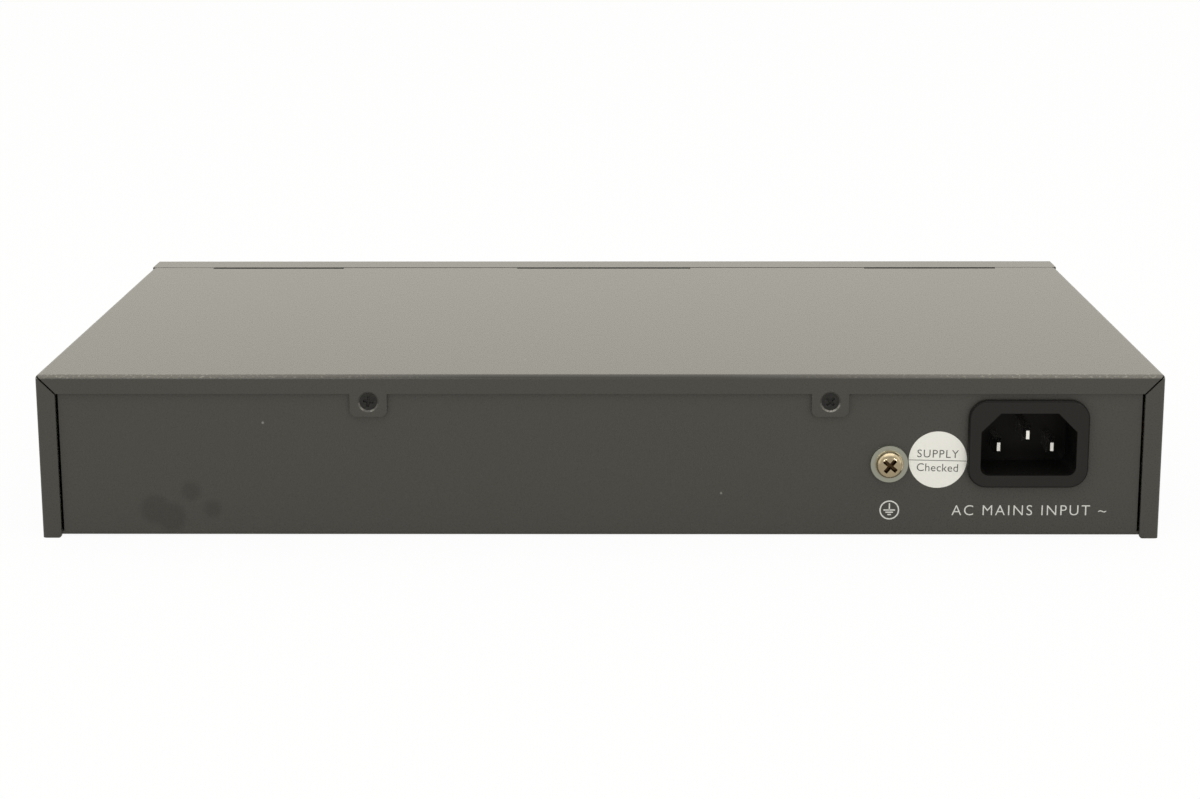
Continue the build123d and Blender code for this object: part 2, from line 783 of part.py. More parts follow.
block_behind = front_y + block_depth
header_end = output_x + output_ways * header_pitch / 2
front_screw_y = block_behind + board_screw_inset
rear_screw_y = board_rear - board_screw_inset
board_screw_spots = [(side * (board_half - board_screw_inset), y)
                     for side in (-1, 1) for y in (front_screw_y, rear_screw_y)]
board_screw_spots += [(inner_block_x - block_width / 2 - board_screw_clear, front_screw_y),
                      (header_end + header_screw_clear, rear_screw_y)]
supply_screw_spots = [(x, y) for x in (supply_left + supply_screw_inset, supply_right - supply_screw_inset)
                      for y in (supply_front + supply_screw_inset, supply_rear - supply_screw_inset)]

board_standoffs = standoffs(board_screw_spots, standoff_height)
board_standoffs.part.label = "board_standoffs"
export_step(board_standoffs.part, "parts/board_standoffs.step")

supply_standoffs = standoffs(supply_screw_spots, supply_standoff)
supply_standoffs.part.label = "supply_standoffs"
export_step(supply_standoffs.part, "parts/supply_standoffs.step")

board_screws = pan_screws(board_screw_spots, board_top)
board_screws.part.label = "board_screws"
export_step(board_screws.part, "parts/board_screws.step")

supply_screws = pan_screws(supply_screw_spots, supply_top)
supply_screws.part.label = "supply_screws"
export_step(supply_screws.part, "parts/supply_screws.step")

with BuildPart() as main_board:
    with BuildSketch(Plane.XY.offset(board_under)):
        with Locations((0, board_front)):
            Rectangle(2 * board_half, board_depth, align=(Align.CENTER, Align.MIN))
        with Locations(*board_screw_spots):
            Circle(pan_thread / 2 + screw_clearance, mode=Mode.SUBTRACT)
    extrude(amount=board_thickness)
main_board.part.label = "main_board"
export_step(main_board.part, "parts/main_board.step")

supply_middle_x = (supply_left + supply_right) / 2
with BuildPart() as supply_board:
    with BuildSketch(Plane.XY.offset(supply_under)):
        with Locations((supply_middle_x, supply_front)):
            Rectangle(supply_width, supply_depth, align=(Align.CENTER, Align.MIN))
        with Locations(*supply_screw_spots):
            Circle(pan_thread / 2 + screw_clearance, mode=Mode.SUBTRACT)
    extrude(amount=supply_thickness)
supply_board.part.label = "supply_board"
export_step(supply_board.part, "parts/supply_board.step")

with BuildPart() as supply_insulator:
    with BuildSketch(Plane.XY.offset(floor_z)):
        with Locations((supply_middle_x, supply_front + supply_depth / 2)):
            RectangleRounded(supply_width + 2 * insulator_margin, supply_depth + 2 * insulator_margin, 3.0)
        with Locations(*supply_screw_spots):
            Circle(standoff_width / 2 + insulator_hole_gap, mode=Mode.SUBTRACT)
    extrude(amount=insulator_thickness)
supply_insulator.part.label = "supply_insulator"
export_step(supply_insulator.part, "parts/supply_insulator.step")


# Port blocks: moulded housing, metal shield and spring contacts
def port_outline(latch, grow=0.0):
    """Plug opening with the two steps of its latch slot, up for latch 1 and down for latch -1."""
    with BuildSketch() as outline:
        Rectangle(port_width + 2 * grow, port_height + 2 * grow)
        with Locations((0, latch * port_height / 2)):
            Rectangle(latch_width + 2 * grow, 2 * (latch_step + grow))
            Rectangle(latch_slot_width + 2 * grow, 2 * (latch_step + latch_slot_step + grow))
    return outline.sketch


def port_spots(block_x, row):
    """Centres of the plug openings in one row of a block."""
    z = block_middle + row * row_offset
    return [(block_x + (column - (ports_across - 1) / 2) * port_pitch, z) for column in range(ports_across)]


def jack_housing(block_x):
    """Moulded body with one cavity for each port."""
    front = front_y + shield_thickness
    with BuildPart() as housing:
        with BuildSketch(facing_front(front)):
            with Locations((block_x, board_top)):
                Rectangle(block_width - 2 * shield_thickness, block_height - shield_thickness,
                          align=(Align.CENTER, Align.MIN))
        extrude(amount=-(block_depth - 2 * shield_thickness))
        with BuildSketch(facing_front(front)):
            for row in (-1, 1):
                with Locations(*port_spots(block_x, row)):
                    add(port_outline(row))
        extrude(amount=-port_depth, mode=Mode.SUBTRACT)
    return housing


def jack_shield(block_x):
    """Thin metal box round a housing, open below, with an opening for each port."""
    with BuildPart() as shield:
        with BuildSketch(facing_front(front_y)):
            with Locations((block_x, board_top)):
                Rectangle(block_width, block_height, align=(Align.CENTER, Align.MIN))
        extrude(amount=-block_depth)
        with BuildSketch(facing_front(front_y + shield_thickness)):
            with Locations((block_x, board_top)):
                Rectangle(block_width - 2 * shield_thickness, block_height - shield_thickness,
                          align=(Align.CENTER, Align.MIN))
        extrude(amount=-(block_depth - 2 * shield_thickness), mode=Mode.SUBTRACT)
        with BuildSketch(facing_front(front_y)):
            for row in (-1, 1):
                with Locations(*port_spots(block_x, row)):
                    add(port_outline(row, shield_lip))
        extrude(amount=-shield_thickness, mode=Mode.SUBTRACT)
    return shield


def jack_contacts(block_x):
    """Spring contacts that lie on the side of each opening away from its latch and rise to the back."""
    foot_y = front_y + contact_setback
    bend_y = foot_y + contact_foot
    rows = []
    for row in (-1, 1):
        with BuildPart() as contact:
            with BuildSketch(Plane.YZ.offset(-contact_width / 2)):
                with BuildLine():
                    Polyline((foot_y, 0), (bend_y, 0), (bend_y + contact_reach, row * contact_rise),
                             (bend_y + contact_reach, row * (contact_rise + contact_thickness)),
                             (bend_y, row * contact_thickness), (foot_y, row * contact_thickness), close=True)
                make_face()
            extrude(amount=contact_width)
        rows.append(contact.part)
    first = -(contacts_per_port - 1) / 2 * contact_pitch
    with BuildPart() as contacts:
        for row, contact in zip((-1, 1), rows):
            with Locations(*[(x + first + number * contact_pitch, 0, z - row * port_height / 2)
                             for x, z in port_spots(block_x, row) for number in range(contacts_per_port)]):
                add(contact)
    return contacts


jack_housing_inner = jack_housing(inner_block_x)
jack_housing_inner.part.label = "jack_housing_inner"
export_step(jack_housing_inner.part, "parts/jack_housing_inner.step")

jack_housing_outer = jack_housing(outer_block_x)
jack_housing_outer.part.label = "jack_housing_outer"
export_step(jack_housing_outer.part, "parts/jack_housing_outer.step")

jack_shield_inner = jack_shield(inner_block_x)
jack_shield_inner.part.label = "jack_shield_inner"
export_step(jack_shield_inner.part, "parts/jack_shield_inner.step")

jack_shield_outer = jack_shield(outer_block_x)
jack_shield_outer.part.label = "jack_shield_outer"
export_step(jack_shield_outer.part, "parts/jack_shield_outer.step")

jack_contacts_inner = jack_contacts(inner_block_x)
jack_contacts_inner.part.label = "jack_contacts_inner"
export_step(jack_contacts_inner.part, "parts/jack_contacts_inner.step")

jack_contacts_outer = jack_contacts(outer_block_x)
jack_contacts_outer.part.label = "jack_contacts_outer"
export_step(jack_contacts_outer.part, "parts/jack_contacts_outer.step")


# Status lights in a holder that stands on the board behind the front panel
holder_front = front_inside + holder_gap
holder_left = light_spots[-1][0] - holder_side
holder_right = light_spots[light_columns - 1][0] + holder_side
holder_top = light_z + light_row_pitch / 2 + holder_side
with BuildPart() as light_holder:
    with BuildSketch(facing_front(holder_front)):
        with Locations((holder_left, board_top)):
            Rectangle(holder_right - holder_left, holder_top - board_top, align=(Align.MIN, Align.MIN))
        with Locations(*light_spots):
            Circle(light_diameter / 2, mode=Mode.SUBTRACT)
    extrude(amount=-holder_depth)
light_holder.part.label = "light_holder"
export_step(light_holder.part, "parts/light_holder.step")

with BuildPart() as status_lights:
    with BuildSketch(facing_front(front_y + light_length)):
        with Locations(*light_spots):
            Circle(light_diameter / 2)
    extrude(amount=light_length)
    fillet(edges().group_by(Axis.Y)[0], radius=light_diameter * 0.45)
status_lights.part.label = "status_lights"
export_step(status_lights.part, "parts/status_lights.step")


# Parts on the main board
chip_y = front_y + chip_behind_front
magnetic_step = (block_width - magnetic_width) / (magnetics_per_block - 1)
inductor_y = board_header_y - (header_depth + pair_pitch + inductor_width) / 2 - board_part_gap
small_cap_x = output_x - (inductor_width + pair_pitch + small_cap_diameter) / 2 - board_part_gap

with BuildPart() as switch_chip:
    with BuildSketch(Plane.XY.offset(board_top)):
        with Locations((chip_x, chip_y)):
            Rectangle(chip_width, chip_width)
    extrude(amount=chip_height)
    chamfer(edges().group_by(Axis.Z)[-1], length=0.25)
switch_chip.part.label = "switch_chip"
export_step(switch_chip.part, "parts/switch_chip.step")

pad_z = board_top + chip_height
with BuildPart() as thermal_pad:
    with BuildSketch(Plane.XY.offset(pad_z)):
        with Locations((chip_x, chip_y)):
            Rectangle(chip_width - 2, chip_width - 2)
    extrude(amount=pad_thickness)
thermal_pad.part.label = "thermal_pad"
export_step(thermal_pad.part, "parts/thermal_pad.step")

sink_z = pad_z + pad_thickness
with BuildPart() as chip_heatsink:
    with BuildSketch(Plane.XY.offset(sink_z)):
        with Locations((chip_x, chip_y)):
            Rectangle(sink_width, sink_width)
    extrude(amount=sink_base)
    with BuildSketch(Plane.XY.offset(sink_z + sink_base)):
        with Locations((chip_x, chip_y)):
            with GridLocations((sink_width - sink_fin) / (sink_fins - 1), 0, sink_fins, 1):
                Rectangle(sink_fin, sink_width)
    extrude(amount=sink_height - sink_base)
chip_heatsink.part.label = "chip_heatsink"
export_step(chip_heatsink.part, "parts/chip_heatsink.step")

with BuildPart() as port_transformers:
    with BuildSketch(Plane.XY.offset(board_top)):
        for block_x in (inner_block_x, outer_block_x):
            with Locations((block_x, block_behind + magnetic_gap + magnetic_length / 2)):
                with GridLocations(magnetic_step, 0, magnetics_per_block, 1):
                    Rectangle(magnetic_width, magnetic_length)
    extrude(amount=magnetic_height)
port_transformers.part.label = "port_transformers"
export_step(port_transformers.part, "parts/port_transformers.step")

with BuildPart() as memory_chip:
    with BuildSketch(Plane.XY.offset(board_top)):
        with Locations((chip_x - memory_step, chip_y + memory_side)):
            Rectangle(memory_length, memory_width)
    extrude(amount=memory_height)
    chamfer(edges().group_by(Axis.Z)[-1], length=0.2)
memory_chip.part.label = "memory_chip"
export_step(memory_chip.part, "parts/memory_chip.step")

with BuildPart() as crystal:
    with BuildSketch(Plane.XY.offset(board_top)):
        with Locations((chip_x - crystal_step, chip_y - crystal_side)):
            SlotOverall(crystal_length, crystal_width, rotation=90)
    extrude(amount=crystal_height)
    fillet(edges().group_by(Axis.Z)[-1], radius=0.5)
crystal.part.label = "crystal"
export_step(crystal.part, "parts/crystal.step")

with BuildPart() as board_inductors:
    with BuildSketch(Plane.XY.offset(board_top)):
        with Locations((output_x, inductor_y)):
            with GridLocations(0, pair_pitch, 1, 2):
                RectangleRounded(inductor_width, inductor_width, 2.0)
    extrude(amount=inductor_height)
board_inductors.part.label = "board_inductors"
export_step(board_inductors.part, "parts/board_inductors.step")

with BuildPart() as board_capacitors:
    with BuildSketch(Plane.XY.offset(board_top)):
        with Locations((small_cap_x, inductor_y)):
            with GridLocations(pair_pitch, pair_pitch, 2, 2):
                Circle(small_cap_diameter / 2)
    extrude(amount=small_cap_height)
    fillet(edges().group_by(Axis.Z)[-1], radius=0.5)
board_capacitors.part.label = "board_capacitors"
export_step(board_capacitors.part, "parts/board_capacitors.step")


def pin_header(x, y, seat, ways):
    """Low header with a row of square pins standing out of it."""
    with BuildPart() as header:
        with BuildSketch(Plane.XY.offset(seat)):
            with Locations((x, y)):
                Rectangle(ways * header_pitch, header_depth)
        extrude(amount=header_height)
        with BuildSketch(Plane.XY.offset(seat + header_height)):
            with Locations((x, y)):
                with GridLocations(header_pitch, 0, ways, 1):
                    Rectangle(header_pin, header_pin)
        extrude(amount=header_pin_length)
    return header


def lead_plug(x, y, seat, ways):
    """Plug that sits on a header, round its pins."""
    with BuildPart() as plug:
        with BuildSketch(Plane.XY.offset(seat + header_height)):
            with Locations((x, y)):
                Rectangle(ways * header_pitch, header_depth)
        extrude(amount=plug_height)
        with BuildSketch(Plane.XY.offset(seat + header_height)):
            with Locations((x, y)):
                with GridLocations(header_pitch, 0, ways, 1):
                    Rectangle(header_pin, header_pin)
        extrude(amount=header_pin_length, mode=Mode.SUBTRACT)
    return plug


def upright(x, y, diameter, height, edge):
    """Round component that stands on the supply board, with a rolled upper edge."""
    with BuildPart() as can:
        with BuildSketch(Plane.XY.offset(supply_top)):
            with Locations((x, y)):
                Circle(diameter / 2)
        extrude(amount=height)
        fillet(edges().group_by(Axis.Z)[-1], radius=edge)
    return can


board_power_header = pin_header(output_x, board_header_y, board_top, output_ways)
board_power_header.part.label = "board_power_header"
export_step(board_power_header.part, "parts/board_power_header.step")

board_power_plug = lead_plug(output_x, board_header_y, board_top, output_ways)
board_power_plug.part.label = "board_power_plug"
export_step(board_power_plug.part, "parts/board_power_plug.step")

supply_output_header = pin_header(output_x, front_row_y, supply_top, output_ways)
supply_output_header.part.label = "supply_output_header"
export_step(supply_output_header.part, "parts/supply_output_header.step")

supply_output_plug = lead_plug(output_x, front_row_y, supply_top, output_ways)
supply_output_plug.part.label = "supply_output_plug"
export_step(supply_output_plug.part, "parts/supply_output_plug.step")

supply_input_header = pin_header(input_x, front_row_y, supply_top, input_ways)
supply_input_header.part.label = "supply_input_header"
export_step(supply_input_header.part, "parts/supply_input_header.step")

supply_input_plug = lead_plug(input_x, front_row_y, supply_top, input_ways)
supply_input_plug.part.label = "supply_input_plug"
export_step(supply_input_plug.part, "parts/supply_input_plug.step")

fuse = upright(fuse_x, middle_row_y, fuse_diameter, fuse_height, 0.6)
fuse.part.label = "fuse"
export_step(fuse.part, "parts/fuse.step")

bulk_capacitor = upright(bulk_x, middle_row_y, bulk_diameter, bulk_height, 1.0)
bulk_capacitor.part.label = "bulk_capacitor"
export_step(bulk_capacitor.part, "parts/bulk_capacitor.step")

with BuildPart() as film_capacitor:
    with BuildSketch(Plane.XY.offset(supply_top)):
        with Locations((film_x, front_row_y)):
            Rectangle(film_cap_length, film_cap_width)
    extrude(amount=film_cap_height)
    chamfer(edges().group_by(Axis.Z)[-1], length=0.4)
film_capacitor.part.label = "film_capacitor"
export_step(film_capacitor.part, "parts/film_capacitor.step")

with BuildPart() as noise_choke:
    with BuildSketch(Plane.XY.offset(supply_top)):
        with Locations((choke_x, middle_row_y)):
            RectangleRounded(choke_width, choke_depth, 2.0)
    extrude(amount=choke_height)
noise_choke.part.label = "noise_choke"
export_step(noise_choke.part, "parts/noise_choke.step")

with BuildPart() as bridge_rectifier:
    with BuildSketch(Plane.XY.offset(supply_top)):
        with Locations((bridge_x, front_row_y)):
            Rectangle(bridge_length, bridge_width)
    extrude(amount=bridge_height)
    chamfer(edges().group_by(Axis.Z)[-1], length=0.5)
bridge_rectifier.part.label = "bridge_rectifier"
export_step(bridge_rectifier.part, "parts/bridge_rectifier.step")

with BuildPart() as disc_capacitor:
    with BuildSketch(facing_front(front_row_y + disc_cap_thickness / 2)):
        with Locations((disc_x, supply_top + disc_cap_diameter / 2)):
            Circle(disc_cap_diameter / 2)
    extrude(amount=disc_cap_thickness)
disc_capacitor.part.label = "disc_capacitor"
export_step(disc_capacitor.part, "parts/disc_capacitor.step")

# Transformer: core with two windows, bobbin on its middle leg and the winding on the bobbin
window_width = (core_length - core_leg) / 2 - core_yoke
window_height = core_height - 2 * core_yoke
core_middle = supply_top + core_height / 2
bobbin_width = core_leg + 2 * (window_width - bobbin_play)
tube_x = core_leg + 2 * bobbin_wall
tube_y = core_width + 2 * bobbin_wall
with BuildPart() as transformer_core:
    with BuildSketch(facing_front(middle_row_y + core_width / 2)):
        with Locations((transformer_x, core_middle)):
            Rectangle(core_length, core_height)
            with GridLocations(core_leg + window_width, 0, 2, 1):
                Rectangle(window_width, window_height, mode=Mode.SUBTRACT)
    extrude(amount=core_width)
transformer_core.part.label = "transformer_core"
export_step(transformer_core.part, "parts/transformer_core.step")

window_bottom = core_middle - window_height / 2
with BuildPart() as transformer_bobbin:
    with BuildSketch(Plane.XY.offset(window_bottom)):
        with Locations((transformer_x, middle_row_y)):
            Rectangle(tube_x, tube_y)
    extrude(amount=window_height)
    with BuildSketch(Plane.XY.offset(window_bottom),
                     Plane.XY.offset(window_bottom + window_height - bobbin_flange)):
        with Locations((transformer_x, middle_row_y)):
            Rectangle(bobbin_width, winding_depth)
    extrude(amount=bobbin_flange)
    with BuildSketch(Plane.XY.offset(window_bottom)):
        with Locations((transformer_x, middle_row_y)):
            Rectangle(core_leg, core_width)
    extrude(amount=window_height, mode=Mode.SUBTRACT)
transformer_bobbin.part.label = "transformer_bobbin"
export_step(transformer_bobbin.part, "parts/transformer_bobbin.step")

with BuildPart() as transformer_winding:
    with BuildSketch(Plane.XY.offset(window_bottom + bobbin_flange)):
        with Locations((transformer_x, middle_row_y)):
            RectangleRounded(bobbin_width - 2 * winding_inset, winding_depth - 2 * winding_inset, 2.0)
            Rectangle(tube_x, tube_y, mode=Mode.SUBTRACT)
    extrude(amount=window_height - 2 * bobbin_flange)
transformer_winding.part.label = "transformer_winding"
export_step(transformer_winding.part, "parts/transformer_winding.step")

# Two upright heatsinks, each with a transistor or rectifier package against its front face
rail_spots = [transformer_x - primary_sink_shift, output_cap_x - secondary_sink_shift]
with BuildPart() as rail_heatsinks:
    with BuildSketch(Plane.XY.offset(supply_top)):
        for x in rail_spots:
            with Locations((x, rail_y)):
                Rectangle(rail_sink_length, rail_sink_thickness, align=(Align.CENTER, Align.MIN))
    extrude(amount=rail_sink_height)
rail_heatsinks.part.label = "rail_heatsinks"
export_step(rail_heatsinks.part, "parts/rail_heatsinks.step")

with BuildPart() as power_packages:
    with BuildSketch(Plane.XY.offset(supply_top + package_lift)):
        for x in rail_spots:
            with Locations((x, rail_y)):
                Rectangle(package_width, package_thickness, align=(Align.CENTER, Align.MAX))
    extrude(amount=package_height)
    with BuildSketch(Plane.XY.offset(supply_top)):
        for x in rail_spots:
            with Locations((x, rail_y - package_thickness / 2)):
                with GridLocations(package_leg_pitch, 0, 3, 1):
                    Rectangle(package_leg, package_leg)
    extrude(amount=package_lift)
power_packages.part.label = "power_packages"
export_step(power_packages.part, "parts/power_packages.step")

with BuildPart() as output_capacitors:
    with BuildSketch(Plane.XY.offset(supply_top)):
        with Locations((output_cap_x, middle_row_y)):
            with GridLocations(0, output_cap_diameter + output_cap_gap, 1, 2):
                Circle(output_cap_diameter / 2)
    extrude(amount=output_cap_height)
    fillet(edges().group_by(Axis.Z)[-1], radius=0.8)
output_capacitors.part.label = "output_capacitors"
export_step(output_capacitors.part, "parts/output_capacitors.step")


# Insulated leads
def lead(name, points):
    """Round lead on straight runs joined by arcs as large as the runs allow."""
    corners = [Vector(*point) for point in points]
    radii = []
    for before, corner, after in zip(corners, corners[1:], corners[2:]):
        arriving, leaving = corner - before, after - corner
        turn = radians(arriving.get_angle(leaving))
        radii.append(0.45 * min(arriving.length, leaving.length) / tan(turn / 2))
    print(name, "radii", [round(radius, 1) for radius in radii])
    with BuildPart() as piece:
        with BuildLine() as route:
            FilletPolyline(*points, radius=radii)
        with BuildSketch(Plane(origin=route.wire() @ 0, z_dir=route.wire() % 0)):
            Circle(lead_diameter / 2)
        sweep()
    return piece


input_plug_top = supply_top + header_height + plug_height
board_plug_top = board_top + header_height + plug_height
line_x, line_z = pin_spots["line"]
neutral_x, neutral_z = pin_spots["neutral"]
earth_x, earth_z = pin_spots["earth"]
line_way = input_x - header_pitch
neutral_way = input_x + header_pitch

line_lead = lead("line_lead", [
    (line_x, sleeve_end, line_z), (line_x, sleeve_end - 7.5, line_z),
    (line_x - 3.5, sleeve_end - 18, line_z + 4.5), (line_way + 1.0, front_row_y + 14, line_z + 6.5),
    (line_way, front_row_y + 5, line_z + 4.5), (line_way, front_row_y, input_plug_top + 4.5),
    (line_way, front_row_y, input_plug_top)])
line_lead.part.label = "line_lead"
export_step(line_lead.part, "parts/line_lead.step")

neutral_lead = lead("neutral_lead", [
    (neutral_x, sleeve_end, neutral_z), (neutral_x, sleeve_end - 7.5, neutral_z),
    (neutral_x - 4, sleeve_end - 17, neutral_z + 5), (neutral_way + 3.0, front_row_y + 14, neutral_z + 7),
    (neutral_way, front_row_y + 5, neutral_z + 4.5), (neutral_way, front_row_y, input_plug_top + 4.5),
    (neutral_way, front_row_y, input_plug_top)])
neutral_lead.part.label = "neutral_lead"
export_step(neutral_lead.part, "parts/neutral_lead.step")

earth_lead = lead("earth_lead", [
    (earth_x, sleeve_end, earth_z), (earth_x, sleeve_end - 8.5, earth_z),
    (earth_x + 6.5, sleeve_end - 13, earth_z + 4), (earth_x + 17, sleeve_end - 12, earth_z + 6.5),
    (earth_x + 32, sleeve_end - 5, earth_z + 7), (earth_x + 50, sleeve_end + 4, earth_z + 4),
    (lug_end + 17, lug_axis_y - 18, ground_z + 6), (lug_end + 19, lug_axis_y - 7.5, ground_z + 2),
    (lug_end + 11, lug_axis_y, ground_z), (lug_end - ring_lug_barrel_length / 2, lug_axis_y, ground_z)])
earth_lead.part.label = "earth_lead"
export_step(earth_lead.part, "parts/earth_lead.step")

with BuildPart() as supply_leads:
    for way in range(output_ways):
        way_x = output_x + (way - (output_ways - 1) / 2) * header_pitch
        add(lead("supply_lead", [
            (way_x, front_row_y, input_plug_top), (way_x, front_row_y, input_plug_top + 5),
            (way_x, front_row_y - 5, input_plug_top + 9.5), (way_x, board_header_y + 5, input_plug_top + 9),
            (way_x, board_header_y, input_plug_top + 4), (way_x, board_header_y, board_plug_top)]).part)
supply_leads.part.label = "supply_leads"
export_step(supply_leads.part, "parts/supply_leads.step")
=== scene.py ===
# %% [markdown]
# # A desktop ethernet switch, seen from behind
#
# The object is a folded steel case with a mains inlet, a ground screw and a round label in its back.
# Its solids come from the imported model, at their real size. This lesson gives them their finishes, adds
# the print that lies on the metal, and sets up a plain white studio.

import json
from math import cos, radians, sin

import bpy
import numpy as np
from mathutils import Matrix, Vector


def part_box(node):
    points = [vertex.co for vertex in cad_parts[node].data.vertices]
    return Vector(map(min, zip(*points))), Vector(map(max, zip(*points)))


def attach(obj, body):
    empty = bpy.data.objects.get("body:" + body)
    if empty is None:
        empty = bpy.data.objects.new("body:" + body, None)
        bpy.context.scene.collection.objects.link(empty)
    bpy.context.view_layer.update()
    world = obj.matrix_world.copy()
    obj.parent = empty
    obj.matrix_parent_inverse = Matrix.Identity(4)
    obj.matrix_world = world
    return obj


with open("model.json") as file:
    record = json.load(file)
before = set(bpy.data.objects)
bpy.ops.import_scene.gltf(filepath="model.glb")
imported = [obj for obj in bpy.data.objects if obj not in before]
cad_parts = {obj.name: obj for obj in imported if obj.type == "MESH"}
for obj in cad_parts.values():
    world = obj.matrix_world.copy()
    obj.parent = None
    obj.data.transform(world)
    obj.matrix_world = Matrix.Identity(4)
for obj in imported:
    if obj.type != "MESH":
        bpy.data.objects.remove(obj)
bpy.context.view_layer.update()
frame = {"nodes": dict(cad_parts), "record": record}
print("solids:", len(frame["nodes"]))

MM = 0.001

# %% [markdown]
# ## The camera
#
# A camera is a place, a direction and a focal length. These were fitted to the corners of the case in the
# photograph, so the lens is a real one. The direction is built from three turns: yaw to the side, pitch
# downwards and a small roll.

# %% Camera
PHOTO_WIDTH = 1200
FOCAL_PIXELS = 2472.45
camera_place = Vector((-5.991, 717.770, 178.492)) * MM
camera_yaw = 0.00918
camera_pitch = 0.2210
camera_roll = -0.00192

ahead = Vector((sin(camera_yaw), -cos(camera_yaw), 0))
right = Vector((-cos(camera_yaw), -sin(camera_yaw), 0))
upright = Vector((0, 0, 1))
looking = ahead * cos(camera_pitch) - upright * sin(camera_pitch)
above = ahead * sin(camera_pitch) + upright * cos(camera_pitch)
side_axis = right * cos(camera_roll) + above * sin(camera_roll)
top_axis = above * cos(camera_roll) - right * sin(camera_roll)

lens = bpy.data.cameras.new("camera")
lens.sensor_fit = "HORIZONTAL"
lens.sensor_width = 36.0
lens.lens = FOCAL_PIXELS / PHOTO_WIDTH * lens.sensor_width
lens.clip_start = 0.01
camera = bpy.data.objects.new("camera", lens)
turn = Matrix((side_axis, top_axis, -looking)).transposed()
camera.matrix_world = Matrix.Translation(camera_place) @ turn.to_4x4()
bpy.context.scene.collection.objects.link(camera)
bpy.context.scene.camera = camera
print("focal length:", round(lens.lens, 2), "mm")

# %% [markdown]
# ## Node helpers
#
# Every finish below is a small graph of shader nodes. One helper makes a node, sets its options and fills
# its inputs. An input takes a number, a colour, or the output of another node. Three more helpers make the
# kinds of node that come back most: a sum, a change of range, and a blend.


# %% Node helpers
def node(tree, kind, inputs=None, **settings):
    """A shader node of this kind, with its options set and its inputs filled or linked."""
    made = tree.nodes.new("ShaderNode" + kind)
    for name, value in settings.items():
        setattr(made, name, value)
    for name, value in (inputs or {}).items():
        if isinstance(value, bpy.types.NodeSocket):
            tree.links.new(value, made.inputs[name])
        else:
            made.inputs[name].default_value = value
    return made


def worked_out(tree, operation, first, second=0.0):
    """The result of this operation on two numbers or outputs."""
    return node(tree, "Math", {0: first, 1: second}, operation=operation).outputs[0]


def mapped(tree, value, old, new=(0.0, 1.0), **settings):
    """The value with its old range stretched over the new one, and held there at both ends."""
    made = node(tree, "MapRange", {"Value": value, "From Min": old[0], "From Max": old[1],
                                   "To Min": new[0], "To Max": new[1]}, **settings)
    return made.outputs["Result"]


def blended(tree, share, first, second, kind="RGBA"):
    """From the first colour to the second as the share goes from 0 to 1. A number is of kind FLOAT."""
    mix = node(tree, "Mix", {"Factor": share, "A": first, "B": second}, data_type=kind)
    return mix.outputs["Result"]


def blank_material(name):
    """A material with nothing but its output node."""
    made = bpy.data.materials.new(name)
    made.use_nodes = True
    made.node_tree.nodes.clear()
    return made, made.node_tree, made.node_tree.nodes.new("ShaderNodeOutputMaterial")


# %% [markdown]
# ## The studio
#
# The photograph has no horizon: the floor and the wall are the same white, and the case casts hardly any
# shadow. So the camera sees a white world. Light comes from all round and is a little warm.
#
# Mirror-like surfaces tell where that light stands. The room is bright beyond the case, which is what the
# top mirrors, and dim behind the camera, which is what the back, the screws and the washer mirror. So a
# mirrored ray meets a level that falls smoothly from one side of the room to the other.

# %% World
WHITE = (1, 1, 1, 1)
sky_warmth = (1.0, 0.985, 0.94, 1)
mirror_warmth = (1.0, 0.965, 0.855, 1)
sky_level = 0.9
beyond_level = 1.22
behind_level = 0.42
falls_between = (-0.3, 0.8)

world = bpy.data.worlds.new("studio")
world.use_nodes = True
bpy.context.scene.world = world
sky = world.node_tree
sky.nodes.clear()
sky_path = node(sky, "LightPath")
straight = worked_out(sky, "MAXIMUM", sky_path.outputs["Is Camera Ray"],
                      sky_path.outputs["Is Transmission Ray"])
direction = node(sky, "SeparateXYZ", {0: node(sky, "TexCoord").outputs["Generated"]})
mirrored = mapped(sky, direction.outputs["Y"], falls_between, (beyond_level, behind_level),
                  interpolation_type="SMOOTHSTEP")


def by_ray(scattered, glossy, camera_ray, kind):
    """The value for scattered light, for mirrored light, or for what the camera sees straight away."""
    met = blended(sky, sky_path.outputs["Is Glossy Ray"], scattered, glossy, kind)
    return blended(sky, straight, met, camera_ray, kind)


light = node(sky, "Background", {"Color": by_ray(sky_warmth, mirror_warmth, WHITE, "RGBA"),
                                 "Strength": by_ray(sky_level, mirrored, 1.0, "FLOAT")})
node(sky, "OutputWorld", {"Surface": light.outputs[0]})
print("mirrored light:", beyond_level, "beyond the case,", behind_level, "behind the camera")

# %% [markdown]
# ### Floor
#
# The floor glows to nearly the white of the world, so it shows no edge. It keeps a little of its own
# shading, which is the faint shadow under the case. A mirrored ray finds it dimmer, because the real floor
# near the case is not as bright as the room.

# %% Floor
floor_size = 12.0
floor_white = (0.88, 0.875, 0.86, 1)
shadow_hidden = 0.95
floor_mirrored = 0.42

reach = floor_size / 2
floor_corners = [(-reach, -reach, 0), (reach, -reach, 0), (reach, reach, 0), (-reach, reach, 0)]
floor_mesh = bpy.data.meshes.new("floor")
floor_mesh.from_pydata(floor_corners, [], [(0, 1, 2, 3)])
floor = bpy.data.objects.new("floor", floor_mesh)
bpy.context.scene.collection.objects.link(floor)

